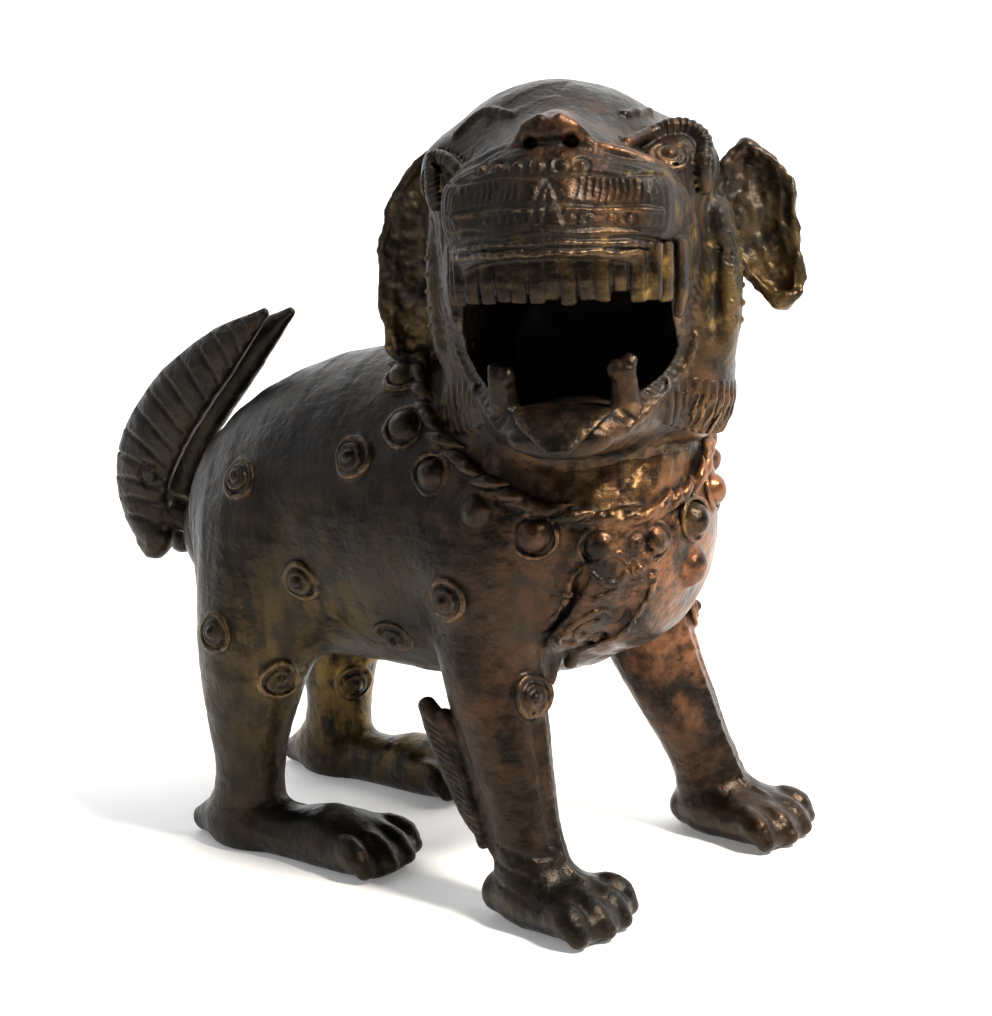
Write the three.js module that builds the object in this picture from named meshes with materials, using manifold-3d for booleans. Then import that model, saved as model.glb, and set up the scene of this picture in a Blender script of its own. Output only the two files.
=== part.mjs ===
// A foo dog: a hollow cast bronze guardian lion, standing on four paws with its
// head turned to its own right and its mouth wide open.
// Millimetres, +Z up. The body faces -Y, so the lion's right side is at -X.
// The origin is on the floor, under the middle of the whole figure.
import * as THREE from 'three';
import { mergeVertices } from 'three/addons/utils/BufferGeometryUtils.js';
import Module from 'manifold-3d';

const wasm = await Module();
wasm.setup();

// ---------- driving dimensions ----------
const WALL = 2.6;                 // thickness of the cast wall
const GAP = 0.3;                  // clearance between neighbouring pieces
const TORSO_LENGTH = 107;         // chest to rump
const TORSO_WIDTH = 55;           // across the ribs
const TORSO_HEIGHT = 62;          // belly to back
const TORSO_AXIS_Z = 65;          // height of the middle of the barrel
const TORSO_MIDDLE_Y = -1;        // middle of the barrel along the body
const TRACK_FRONT = 53;           // between the middles of the front paws
const TRACK_HIND = 41;            // between the middles of the hind feet
const PAW_REACH = 16;             // the front paws ahead of their shoulders
const LEFT_SHOULDER_LEAD = 3;     // the left shoulder ahead of the right
const LEFT_PAW_LEAD = 4;          // the left front paw further ahead than its shoulder
const LEFT_HEEL_LAG = 11;         // the left hind foot behind the right
const NECK_RADIUS = 21;           // outside of the neck
const HEAD_WIDTH = 50;            // across the cheeks
const HEAD_LENGTH = 46;           // back of the skull to the cheeks
const HEAD_HEIGHT = 62;           // crown to the throat
const HEAD_YAW = -69;             // degrees that the head is turned
const HEAD_PITCH = -9;            // degrees that the head is raised
const HEAD_PLACE = [-1.5, -38, 107];  // middle of the mouth corners
const MUZZLE_WIDTH = 40;          // across the upper lip
const MUZZLE_REACH = 30;          // mouth corners to the lip front
const LIP_RISE = 4;               // upper lip above the mouth corners
const MUZZLE_HEIGHT = 17.5;       // lip to the bridge of the nose
const MOUTH_OPENING = 20;         // mouth corners to the lower lip
const TOOTH_LENGTH = 5.5;         // length of the upper teeth
const FANG_LENGTH = 9;            // the two lower fangs
const EYE_RADIUS = 3.1;
const EAR_HEIGHT = 30;            // root to tip
const EAR_WIDTH = 17;             // across the cup
const RIGHT_EAR_OUT = 7;          // the middle of the right cup outside the cheek
const LEFT_EAR_OUT = 4;           // the left cup lies closer
const BOSS_RADIUS = 4.3;          // outside of the coiled ring
const BELL_RADIUS = 4.2;          // the pellets that hang from the collar
const COLLAR_ROPE = 2.4;          // half thickness of the collar rope
const LEG_RADIUS = 6.4;           // the thin part of the legs
const PAW_WIDTH = 20;             // across the front toes
const PAW_LENGTH = 23;            // front paw, heel to toes
const HIND_FOOT_LENGTH = 49;      // heel to toes
const HEEL_BEHIND_HIP = 15;       // the heel behind the middle of the thigh
const TAIL_RISE = 48;             // lowest curl to the tip
const TAIL_THICKNESS = 7;         // each lobe, through

const DEGREE = Math.PI / 180;
const RIGHT = -1;
const LEFT = 1;
const X = new THREE.Vector3(1, 0, 0);
const Y = new THREE.Vector3(0, 1, 0);
const Z = new THREE.Vector3(0, 0, 1);
const DOWN = new THREE.Vector3(0, 0, -1);
const BODY = new THREE.Matrix4();
const HEAD = new THREE.Matrix4()
  .makeTranslation(...HEAD_PLACE)
  .multiply(new THREE.Matrix4().makeRotationZ(HEAD_YAW * DEGREE))
  .multiply(new THREE.Matrix4().makeRotationX(HEAD_PITCH * DEGREE));

// ---------- shapes ----------
function solidFrom(geometry, place = BODY) {
  const bare = geometry.clone().applyMatrix4(place);
  bare.deleteAttribute('normal');
  bare.deleteAttribute('uv');
  const merged = mergeVertices(bare, 1e-4);
  return new wasm.Manifold(new wasm.Mesh({
    numProp: 3,
    vertProperties: new Float32Array(merged.attributes.position.array),
    triVerts: new Uint32Array(merged.index.array),
  }));
}

// A closed skin over rings of points, each end drawn to its own tip.
function skin(rings, tips) {
  const count = rings[0].length;
  const points = rings.flat();
  const faces = [];
  for (let r = 0; r + 1 < rings.length; r += 1) {
    for (let i = 0; i < count; i += 1) {
      const a = r * count + i;
      const b = r * count + (i + 1) % count;
      faces.push(a, b, b + count, a, b + count, a + count);
    }
  }
  const first = points.length;
  const last = first + 1;
  const lastRing = (rings.length - 1) * count;
  points.push(tips[0], tips[1]);
  for (let i = 0; i < count; i += 1) {
    const next = (i + 1) % count;
    faces.push(first, next, i);
    faces.push(last, lastRing + i, lastRing + next);
  }
  const geometry = new THREE.BufferGeometry().setFromPoints(points);
  geometry.setIndex(faces);
  return geometry;
}

// A smooth run through stations of [x, y, z, half width, half depth].
function sampler(stations) {
  const places = stations.map((s) => new THREE.Vector3(s[0], s[1], s[2]));
  const sizes = stations.map((s) => new THREE.Vector3(s[3], s[4], 0));
  const line = new THREE.CatmullRomCurve3(places);
  const size = new THREE.CatmullRomCurve3(sizes);
  return (t) => ({ at: line.getPoint(t), along: line.getTangent(t), half: size.getPoint(t) });
}

// The two directions of a section: `across` is as near to `side` as the run allows,
// and an `upright` section stands square to `side` and to the vertical.
function sectionAxes(along, side, upright) {
  if (upright) return { across: side, deep: DOWN };
  const deep = new THREE.Vector3().crossVectors(along, side).normalize();
  const across = new THREE.Vector3().crossVectors(deep, along).normalize();
  return { across, deep };
}

function loft(stations, {
  side = X, sides = 16, steps = 10, square = 2, grow = 0, dome = 0.35, place = BODY,
  upright = false,
} = {}) {
  const run = sampler(stations);
  const rings = [];
  for (let step = 0; step <= steps; step += 1) {
    const { at, along, half } = run(step / steps);
    const { across, deep } = sectionAxes(along, side, upright);
    const wide = Math.max(half.x + grow, 0.3);
    const thick = Math.max(half.y + grow, 0.3);
    const ring = [];
    for (let i = 0; i < sides; i += 1) {
      const angle = 2 * Math.PI * i / sides;
      const c = Math.cos(angle);
      const s = Math.sin(angle);
      const bend = (Math.abs(c) ** square + Math.abs(s) ** square) ** (-1 / square);
      const point = at.clone().addScaledVector(across, wide * c * bend);
      ring.push(point.addScaledVector(deep, thick * s * bend));
    }
    rings.push(ring);
  }
  const start = run(0);
  const end = run(1);
  const startReach = grow + dome * Math.min(start.half.x, start.half.y);
  const endReach = grow + dome * Math.min(end.half.x, end.half.y);
  const tips = [
    start.at.clone().addScaledVector(start.along, -startReach),
    end.at.clone().addScaledVector(end.along, endReach),
  ];
  return solidFrom(skin(rings, tips), place);
}

function ellipsoid(middle, radii, { grow = 0, around = 16, down = 10, place = BODY } = {}) {
  const geometry = new THREE.SphereGeometry(1, around, down);
  geometry.scale(radii[0] + grow, radii[1] + grow, radii[2] + grow);
  geometry.translate(...middle);
  return solidFrom(geometry, place);
}

function block(low, high, place = BODY) {
  const geometry = new THREE.BoxGeometry(high[0] - low[0], high[1] - low[1], high[2] - low[2]);
  geometry.translate((low[0] + high[0]) / 2, (low[1] + high[1]) / 2, (low[2] + high[2]) / 2);
  return solidFrom(geometry, place);
}

const FAR = 300;
const aboveFloor = block([-FAR, -FAR, 0], [FAR, FAR, FAR]);
const standing = (solid) => solid.intersect(aboveFloor);

// A turned solid whose axis leaves `at` along `facing`.
function turned(profile, at, facing, around = 14) {
  const geometry = new THREE.LatheGeometry(profile.map((p) => new THREE.Vector2(...p)), around);
  const turn = new THREE.Matrix4().makeRotationFromQuaternion(
    new THREE.Quaternion().setFromUnitVectors(Y, facing),
  );
  return solidFrom(geometry, turn.setPosition(at));
}

// ---------- the torso ----------
// [share of the length from the chest, rise of the axis, share of the width, share of the height]
const TORSO_SECTIONS = [
  [0.00, -0.09, 0.14, 0.13],
  [0.03, -0.07, 0.50, 0.44],
  [0.08, -0.05, 0.74, 0.66],
  [0.15, -0.01, 0.90, 0.83],
  [0.27, 0.02, 1.00, 0.95],
  [0.42, 0.01, 1.00, 1.00],
  [0.60, 0.00, 0.96, 0.97],
  [0.78, -0.05, 0.90, 0.88],
  [0.91, -0.10, 0.70, 0.69],
  [1.00, -0.14, 0.34, 0.38],
];
const torsoY = (share) => TORSO_MIDDLE_Y + (share - 0.5) * TORSO_LENGTH;
const TORSO_STATIONS = TORSO_SECTIONS.map(([share, rise, wide, tall]) => [
  0, torsoY(share), TORSO_AXIS_Z + rise * TORSO_HEIGHT,
  wide * TORSO_WIDTH / 2, tall * TORSO_HEIGHT / 2,
]);
const torsoRun = sampler(TORSO_STATIONS);
const torsoOuter = (grow) => loft(TORSO_STATIONS, {
  sides: 24, steps: 16, grow, upright: true,
});
const torsoInner = (grow) => loft(TORSO_STATIONS, {
  sides: 16, steps: 9, grow: grow - WALL, upright: true,
});

// The section of the torso at a share of its length from the chest.
function torsoSection(share) {
  let low = 0;
  let high = 1;
  for (let halving = 0; halving < 24; halving += 1) {
    const middle = (low + high) / 2;
    if (torsoRun(middle).at.y < torsoY(share)) low = middle;
    else high = middle;
  }
  return torsoRun(low);
}

// A point on the torso: `share` of the length from the chest, and `angle` round the
// barrel in degrees, 0 on the lion's right side, 90 on the back and 180 on its left.
function onTorso(share, angle) {
  const { at, half } = torsoSection(share);
  const before = torsoSection(Math.max(share - 0.02, 0));
  const after = torsoSection(Math.min(share + 0.02, 1));
  const c = -Math.cos(angle * DEGREE);
  const s = Math.sin(angle * DEGREE);
  const spot = (section) => new THREE.Vector3(
    section.at.x + section.half.x * c, section.at.y, section.at.z + section.half.y * s,
  );
  const point = spot({ at, half });
  const lengthwise = spot(after).sub(spot(before));
  const roundwise = new THREE.Vector3(-half.x * s, 0, half.y * c);
  const facing = new THREE.Vector3().crossVectors(lengthwise, roundwise).normalize();
  if (facing.dot(point.clone().sub(at)) < 0) facing.negate();
  return { point, facing };
}

// Moves a point in or out from the heart of the torso until it is `clear` above the skin.
function seatedOnTorso(point, clear) {
  const shareOf = (y) => (y - torsoY(0)) / TORSO_LENGTH;
  const heart = torsoSection(THREE.MathUtils.clamp(shareOf(point.y), 0.27, 0.8)).at;
  const outwards = point.clone().sub(heart).normalize();
  let inside = 0;
  let outside = TORSO_LENGTH;
  for (let halving = 0; halving < 20; halving += 1) {
    const reach = (inside + outside) / 2;
    const probe = heart.clone().addScaledVector(outwards, reach);
    const share = shareOf(probe.y);
    const { at, half } = torsoSection(THREE.MathUtils.clamp(share, 0, 1));
    const within = Math.hypot((probe.x - at.x) / half.x, (probe.z - at.z) / half.y) < 1;
    if (within && share > 0 && share < 1) inside = reach;
    else outside = reach;
  }
  return heart.clone().addScaledVector(outwards, inside + clear);
}

// ---------- the neck and the collar ----------
const NECK_FOOT = [0, torsoY(0.27), TORSO_AXIS_Z + 0.12 * TORSO_HEIGHT];
const NECK_TOP = [HEAD_PLACE[0] + 3, HEAD_PLACE[1], HEAD_PLACE[2] - 4];
const neckStation = (share, radius) => [
  ...NECK_FOOT.map((low, i) => low + share * (NECK_TOP[i] - low)), radius, radius,
];
const neckOuter = (grow) => loft(
  [neckStation(0, NECK_RADIUS + 2), neckStation(0.5, NECK_RADIUS), neckStation(1, NECK_RADIUS - 1)],
  { sides: 22, steps: 5, grow, dome: 0 },
);
const BORE_RADIUS = NECK_RADIUS - WALL - 3;
const neckBore = (grow) => loft(
  [neckStation(-0.35, BORE_RADIUS), neckStation(0.5, BORE_RADIUS), neckStation(1.2, BORE_RADIUS)],
  { sides: 18, steps: 2, grow, dome: 0 },
);

const COLLAR_TILT = 26;           // degrees that the collar drops towards the throat
const COLLAR_SHARE = 0.42;        // of the way up the neck
const collarMiddle = new THREE.Vector3(...neckStation(COLLAR_SHARE, NECK_RADIUS));
const throatYaw = (HEAD_YAW * 0.55) * DEGREE;
function onCollar(angle, radius) {
  const forward = new THREE.Vector3(Math.sin(throatYaw), -Math.cos(throatYaw), 0);
  const sideways = new THREE.Vector3(-forward.y, forward.x, 0);
  const reach = radius * Math.cos(angle);
  const point = collarMiddle.clone().addScaledVector(sideways, radius * Math.sin(angle));
  point.addScaledVector(forward, reach);
  point.z -= reach * Math.tan(COLLAR_TILT * DEGREE);
  return point;
}

// The middle of the rope at an angle round the neck, 0 at the throat.
const COLLAR_SLACK = 2.5;         // the rope hangs this far off the neck
const COLLAR_RADIUS = NECK_RADIUS + COLLAR_SLACK + COLLAR_ROPE;
const ropeAt = (angle) => seatedOnTorso(onCollar(angle, COLLAR_RADIUS), COLLAR_ROPE);

function collarShape(grow) {
  const turns = 32;
  const sides = 6;
  const points = [];
  const faces = [];
  for (let turn = 0; turn < turns; turn += 1) {
    const angle = 2 * Math.PI * turn / turns;
    const middle = ropeAt(angle);
    const outward = middle.clone().sub(onCollar(angle, 0)).normalize();
    const plump = COLLAR_ROPE * (1 + 0.12 * (turn % 2)) + grow;
    for (let i = 0; i < sides; i += 1) {
      const around = 2 * Math.PI * i / sides;
      const point = middle.clone().addScaledVector(outward, plump * Math.cos(around));
      points.push(point.addScaledVector(Z, plump * Math.sin(around)));
      const a = turn * sides + i;
      const b = turn * sides + (i + 1) % sides;
      const c = ((turn + 1) % turns) * sides + i;
      const d = ((turn + 1) % turns) * sides + (i + 1) % sides;
      faces.push(a, d, b, a, c, d);
    }
  }
  const geometry = new THREE.BufferGeometry().setFromPoints(points);
  geometry.setIndex(faces);
  return solidFrom(geometry);
}

// ---------- the head, in its own upright frame facing -Y, mouth corners at z = 0 ----------
const CHEEK = HEAD_WIDTH / 2;
const skullStations = [
  [0, 0.52 * HEAD_LENGTH, 0.12 * HEAD_HEIGHT, 0.42 * CHEEK, 0.22 * HEAD_HEIGHT],
  [0, 0.42 * HEAD_LENGTH, 0.11 * HEAD_HEIGHT, 0.76 * CHEEK, 0.36 * HEAD_HEIGHT],
  [0, 0.20 * HEAD_LENGTH, 0.09 * HEAD_HEIGHT, 0.97 * CHEEK, 0.49 * HEAD_HEIGHT],
  [0, -0.06 * HEAD_LENGTH, 0.09 * HEAD_HEIGHT, CHEEK, 0.50 * HEAD_HEIGHT],
  [0, -0.26 * HEAD_LENGTH, 0.12 * HEAD_HEIGHT, 0.90 * CHEEK, 0.45 * HEAD_HEIGHT],
  [0, -0.40 * HEAD_LENGTH, 0.16 * HEAD_HEIGHT, 0.72 * CHEEK, 0.36 * HEAD_HEIGHT],
];
const skullOuter = (grow) => loft(skullStations, { sides: 20, steps: 9, grow, place: HEAD });
const skullInner = (grow) => loft(skullStations, {
  sides: 14, steps: 6, grow: grow - WALL, place: HEAD,
});
const MOUTH_HALF = MUZZLE_WIDTH / 2 - WALL;
const MOUTH_TOP = LIP_RISE;
const mouthCut = (grow) => block(
  [-MOUTH_HALF - grow, -2 * MUZZLE_REACH, -MOUTH_OPENING - grow],
  [MOUTH_HALF + grow, -0.02 * HEAD_LENGTH + grow, MOUTH_TOP + grow],
  HEAD,
);

// The upper jaw: a hollow snout in front of the skull, open behind and below.
const snoutHalf = MUZZLE_WIDTH / 2;
const snoutDeep = MUZZLE_HEIGHT / 2;
const snoutMiddle = LIP_RISE + snoutDeep;
const BRIDGE = LIP_RISE + MUZZLE_HEIGHT;
const snoutStations = (grow) => [
  [0, -0.25 * MUZZLE_REACH, snoutMiddle + 1, snoutHalf + 0.5 + grow, snoutDeep + 1 + grow],
  [0, -0.60 * MUZZLE_REACH, snoutMiddle + 0.5, snoutHalf + grow, snoutDeep + grow],
  [0, -0.90 * MUZZLE_REACH, snoutMiddle, snoutHalf - 1 + grow, snoutDeep - 1 + grow],
  [0, -MUZZLE_REACH, snoutMiddle, snoutHalf - 4 + grow, snoutDeep - 4 + grow],
];
const snoutOuter = (grow) => loft(snoutStations(grow), {
  sides: 24, steps: 6, square: 3.4, dome: 0.1, place: HEAD,
});
const snoutHollow = (grow) => block(
  [-snoutHalf + WALL - grow, -0.9 * MUZZLE_REACH + WALL - grow, LIP_RISE - 2],
  [snoutHalf - WALL + grow, 5, LIP_RISE + 0.6 * MUZZLE_HEIGHT + grow],
  HEAD,
);

// The upper teeth hang from the lip as one comb.
const TEETH = 13;
function upperTeeth(grow) {
  let comb = null;
  const pitch = (MUZZLE_WIDTH - 3) / TEETH;
  for (let i = 0; i < TEETH; i += 1) {
    const x = (i - (TEETH - 1) / 2) * pitch;
    const bow = 4.5 * (2 * x / MUZZLE_WIDTH) ** 4;
    const front = -0.93 * MUZZLE_REACH + bow;
    const drop = TOOTH_LENGTH * (1 - 0.12 * (i % 2));
    const tooth = block(
      [x - pitch * 0.53 - grow, front - grow, LIP_RISE - drop - grow],
      [x + pitch * 0.53 + grow, front + 2.6 + grow, LIP_RISE + 1.5 + grow],
      HEAD,
    );
    comb = comb ? comb.add(tooth) : tooth;
  }
  return comb;
}

// The lower jaw is a trough from the cheeks to the chin, its lip rising to the corners.
const JAW_DROP = MOUTH_OPENING + 5;
const jawStations = [
  [0, 0.04 * HEAD_LENGTH, -0.62 * JAW_DROP, snoutHalf + 1, 0.50 * JAW_DROP],
  [0, -0.30 * MUZZLE_REACH, -0.68 * JAW_DROP, snoutHalf - 0.5, 0.46 * JAW_DROP],
  [0, -0.60 * MUZZLE_REACH, -0.82 * JAW_DROP, snoutHalf - 5, 0.32 * JAW_DROP],
  [0, -0.85 * MUZZLE_REACH, -0.98 * JAW_DROP, snoutHalf - 11, 0.14 * JAW_DROP],
];
const jawOuter = (grow) => loft(jawStations, { sides: 20, steps: 8, grow, place: HEAD });
function jawHollow(grow) {
  const high = [
    [0, 0.3 * HEAD_LENGTH, -0.40 * JAW_DROP, snoutHalf - 1.5, 0.50 * JAW_DROP],
    [0, -0.35 * MUZZLE_REACH, -0.44 * JAW_DROP, snoutHalf - 2.5, 0.48 * JAW_DROP],
    [0, -0.70 * MUZZLE_REACH, -0.50 * JAW_DROP, snoutHalf - 8, 0.42 * JAW_DROP],
    [0, -1.40 * MUZZLE_REACH, -0.50 * JAW_DROP, snoutHalf - 8, 0.42 * JAW_DROP],
  ];
  return loft(high, { sides: 18, steps: 6, grow, place: HEAD });
}

const TONGUE_Z = -0.82 * JAW_DROP;
const tongueShape = (grow) => loft([
  [0, -0.45 * MUZZLE_REACH, TONGUE_Z, 6.0, 1.2],
  [0, -0.75 * MUZZLE_REACH, TONGUE_Z - 0.6, 7.4, 1.3],
  [0, -0.98 * MUZZLE_REACH, TONGUE_Z - 1.2, 6.4, 1.3],
  [0, -1.10 * MUZZLE_REACH, TONGUE_Z - 5.2, 2.8, 1.0],
], { sides: 12, steps: 6, grow, place: HEAD });

const FANG_FOOT = -0.76 * JAW_DROP;
const lowerFang = (side) => (grow) => loft([
  [side * 10.5, -0.58 * MUZZLE_REACH, FANG_FOOT, 2.4, 2.2],
  [side * 11.2, -0.62 * MUZZLE_REACH, FANG_FOOT + 0.6 * FANG_LENGTH, 2.3, 2.1],
  [side * 11.4, -0.64 * MUZZLE_REACH, FANG_FOOT + FANG_LENGTH, 1.1, 1.1],
], { sides: 8, steps: 4, grow, place: HEAD });

const cornerFang = (side) => (grow) => loft([
  [side * (snoutHalf - 0.6), -0.60 * MUZZLE_REACH, LIP_RISE + 1, 1.5, 2.8],
  [side * (snoutHalf - 0.4), -0.62 * MUZZLE_REACH, LIP_RISE - 0.8 * TOOTH_LENGTH, 1.4, 2.2],
  [side * (snoutHalf - 0.8), -0.64 * MUZZLE_REACH, LIP_RISE - 1.6 * TOOTH_LENGTH, 0.7, 0.9],
], { side: X, sides: 8, steps: 4, grow, place: HEAD });

const noseShape = (grow) => loft([
  [0, -0.50 * MUZZLE_REACH, BRIDGE + 2.5, 3.4, 2.6],
  [0, -0.78 * MUZZLE_REACH, BRIDGE + 3.6, 5.6, 3.8],
  [0, -0.99 * MUZZLE_REACH, BRIDGE + 3.2, 6.8, 3.6],
  [0, -1.06 * MUZZLE_REACH, BRIDGE + 2.2, 4.4, 2.2],
], { sides: 14, steps: 6, grow, place: HEAD });

const snoutStrap = (side) => (grow) => loft([
  [side * 0.30 * snoutHalf, -0.93 * MUZZLE_REACH, BRIDGE + 0.4, 1.5, 1.3],
  [side * 0.57 * snoutHalf, -0.80 * MUZZLE_REACH, BRIDGE + 0.8, 1.6, 1.4],
  [side * 0.85 * snoutHalf, -0.60 * MUZZLE_REACH, BRIDGE - 1.0, 1.6, 1.4],
  [side * 1.01 * snoutHalf, -0.38 * MUZZLE_REACH, BRIDGE - 5.0, 1.4, 1.3],
], { side: Y, sides: 7, steps: 6, grow, place: HEAD });

const EYE_PLACE = [0.77 * CHEEK, -0.34 * HEAD_LENGTH, BRIDGE - 0.5];
const eyeShape = (side) => (grow) => ellipsoid(
  [side * EYE_PLACE[0], EYE_PLACE[1], EYE_PLACE[2]],
  [EYE_RADIUS, EYE_RADIUS, EYE_RADIUS],
  { grow, around: 10, down: 6, place: HEAD },
);

function browRope(side) {
  const [x, y, z] = EYE_PLACE;
  const reach = EYE_RADIUS + 1.8;
  return (grow) => loft([
    [side * (x - reach - 1.5), y - 1.0, z + 2.0, 1.5, 1.5],
    [side * (x - 0.62 * reach), y - 0.4, z + 0.78 * reach, 1.7, 1.7],
    [side * (x + 0.25 * reach), y + 0.4, z + 1.05 * reach, 1.8, 1.8],
    [side * (x + 0.90 * reach), y + 2.2, z + 0.40 * reach, 1.7, 1.7],
    [side * (x + 1.05 * reach), y + 3.6, z - 0.70 * reach, 1.4, 1.4],
  ], { side: Y, sides: 8, steps: 12, grow, place: HEAD });
}

// Each ear is a cup that opens forwards, on a short root at the side of the skull.
const earOut = (side) => CHEEK + (side === LEFT ? LEFT_EAR_OUT : RIGHT_EAR_OUT);
const earMiddle = (side) => [side * earOut(side), 0.08 * HEAD_LENGTH, 0.18 * HEAD_HEIGHT];
const earOuter = (side) => (grow) => ellipsoid(
  earMiddle(side),
  [EAR_WIDTH / 2, 0.30 * EAR_WIDTH, EAR_HEIGHT / 2],
  { grow, around: 12, down: 9, place: HEAD },
).add(loft([
  [side * (CHEEK - 4), 0.10 * HEAD_LENGTH, 0.20 * HEAD_HEIGHT, 5, 4],
  [side * (CHEEK + 4), 0.12 * HEAD_LENGTH, 0.20 * HEAD_HEIGHT, 6, 4],
], { side: Z, sides: 10, steps: 1, grow, dome: 0, place: HEAD }));
const earHollow = (side) => (grow) => {
  const [x, y, z] = earMiddle(side);
  const middle = [x + side * 0.4, y - 0.24 * EAR_WIDTH, z];
  const radii = [EAR_WIDTH / 2 - WALL / 2, 0.30 * EAR_WIDTH, EAR_HEIGHT / 2 - WALL / 2];
  return ellipsoid(middle, radii, { grow, around: 12, down: 8, place: HEAD });
};

const cheekRuff = (side) => (grow) => loft([
  [side * (CHEEK - 1.0), -0.16 * HEAD_LENGTH, 0.20 * HEAD_HEIGHT, 3.0, 2.2],
  [side * (CHEEK + 0.4), -0.12 * HEAD_LENGTH, 0.08 * HEAD_HEIGHT, 4.6, 2.4],
  [side * (CHEEK + 0.4), -0.12 * HEAD_LENGTH, -0.06 * HEAD_HEIGHT, 4.6, 2.4],
  [side * (CHEEK - 0.6), -0.14 * HEAD_LENGTH, -0.15 * HEAD_HEIGHT, 3.0, 2.0],
], { side: Y, sides: 10, steps: 5, grow, place: HEAD });

const cheekFlap = (side) => (grow) => loft([
  [side * (CHEEK - 2.4), -0.14 * HEAD_LENGTH, -0.20 * HEAD_HEIGHT, 5.0, 2.0],
  [side * (CHEEK - 2.8), -0.12 * HEAD_LENGTH, -0.30 * HEAD_HEIGHT, 6.4, 2.2],
  [side * (CHEEK - 5.0), -0.12 * HEAD_LENGTH, -0.40 * HEAD_HEIGHT, 4.4, 1.8],
], { side: Y, sides: 10, steps: 4, grow, place: HEAD });

// ---------- legs ----------
const SHOULDER = torsoY(0.27);
const HIP = torsoY(0.80);
const shoulderOf = (side) => SHOULDER - (side === LEFT ? LEFT_SHOULDER_LEAD : 0);
const pawReachOf = (side) => PAW_REACH + (side === LEFT ? LEFT_PAW_LEAD : 0);
function forelegStations(side) {
  const top = side * TORSO_WIDTH * 0.35;
  const foot = side * TRACK_FRONT / 2;
  const lean = (share) => shoulderOf(side) - share * pawReachOf(side);
  const between = (share) => top + share * (foot - top);
  return [
    [between(0.0), lean(0.0), TORSO_AXIS_Z - 4, 9, 11],
    [between(0.3), lean(0.1), 0.68 * TORSO_AXIS_Z, 8.4, 9.6],
    [between(0.6), lean(0.35), 0.45 * TORSO_AXIS_Z, LEG_RADIUS + 0.8, LEG_RADIUS + 1.4],
    [between(0.9), lean(0.6), 0.25 * TORSO_AXIS_Z, LEG_RADIUS - 0.4, LEG_RADIUS],
    [between(1.0), lean(0.72), 0.08 * TORSO_AXIS_Z, LEG_RADIUS + 0.8, LEG_RADIUS + 1],
  ];
}

function foreleg(side) {
  const foot = side * TRACK_FRONT / 2;
  const pawHalf = PAW_WIDTH / 2;
  const heel = shoulderOf(side) - pawReachOf(side) + 0.46 * PAW_LENGTH;
  const limb = forelegStations(side);
  const paw = [
    [foot, heel, 4.2, 0.52 * pawHalf, 4.0],
    [foot, heel - 0.30 * PAW_LENGTH, 4.8, 0.76 * pawHalf, 6.0],
    [foot, heel - 0.70 * PAW_LENGTH, 3.8, pawHalf, 5.2],
    [foot, heel - PAW_LENGTH, 2.6, 0.80 * pawHalf, 3.4],
  ];
  return (grow) => standing(
    loft(limb, { sides: 14, steps: 7, grow }).add(loft(paw, { sides: 14, steps: 5, grow })),
  );
}

// The fin of hair down the outer back of each foreleg.
function elbowFin(side) {
  const run = sampler(forelegStations(side));
  const sizes = [[0.26, 1.4, 2.6], [0.42, 2.2, 4.6], [0.62, 2.0, 4.2], [0.84, 1.3, 2.4]];
  const stations = sizes.map(([share, wide, deep]) => {
    const { at, half } = run(share);
    return [at.x + side * 0.72 * half.x, at.y + 0.86 * half.y, at.z, wide, deep];
  });
  return (grow) => loft(stations, { sides: 10, steps: 7, grow });
}

function hindLegStations(side) {
  const x = side * TRACK_HIND / 2;
  const hip = HIP + (side === LEFT ? LEFT_HEEL_LAG : 0);
  return [
    [side * TORSO_WIDTH * 0.30, hip - 3, TORSO_AXIS_Z - 12, 11, 15],
    [side * TORSO_WIDTH * 0.36, hip - 1, 0.58 * TORSO_AXIS_Z, 9.5, 12],
    [x, hip + 1, 0.37 * TORSO_AXIS_Z, LEG_RADIUS + 0.8, LEG_RADIUS + 2],
    [x, hip + 2, 0.20 * TORSO_AXIS_Z, LEG_RADIUS, LEG_RADIUS + 1],
    [x, hip + 3, 0.06 * TORSO_AXIS_Z, LEG_RADIUS + 0.6, LEG_RADIUS + 3],
  ];
}

function hindLeg(side) {
  const limb = hindLegStations(side);
  const x = side * TRACK_HIND / 2;
  const heel = HIP + (side === LEFT ? LEFT_HEEL_LAG : 0) + HEEL_BEHIND_HIP;
  const foot = [
    [x, heel, 2.6, 2.2, 2.6],
    [x, heel - 0.16 * HIND_FOOT_LENGTH, 4.6, 5.4, 5.6],
    [x, heel - 0.40 * HIND_FOOT_LENGTH, 4.4, 6.6, 5.8],
    [x, heel - 0.68 * HIND_FOOT_LENGTH, 2.9, 7.2, 4.4],
    [x, heel - 0.88 * HIND_FOOT_LENGTH, 4.0, 9.0, 5.0],
    [x, heel - HIND_FOOT_LENGTH, 4.6, 7.2, 3.2],
  ];
  return (grow) => standing(
    loft(limb, { sides: 14, steps: 7, grow }).add(loft(foot, { sides: 12, steps: 8, grow })),
  );
}

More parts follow.
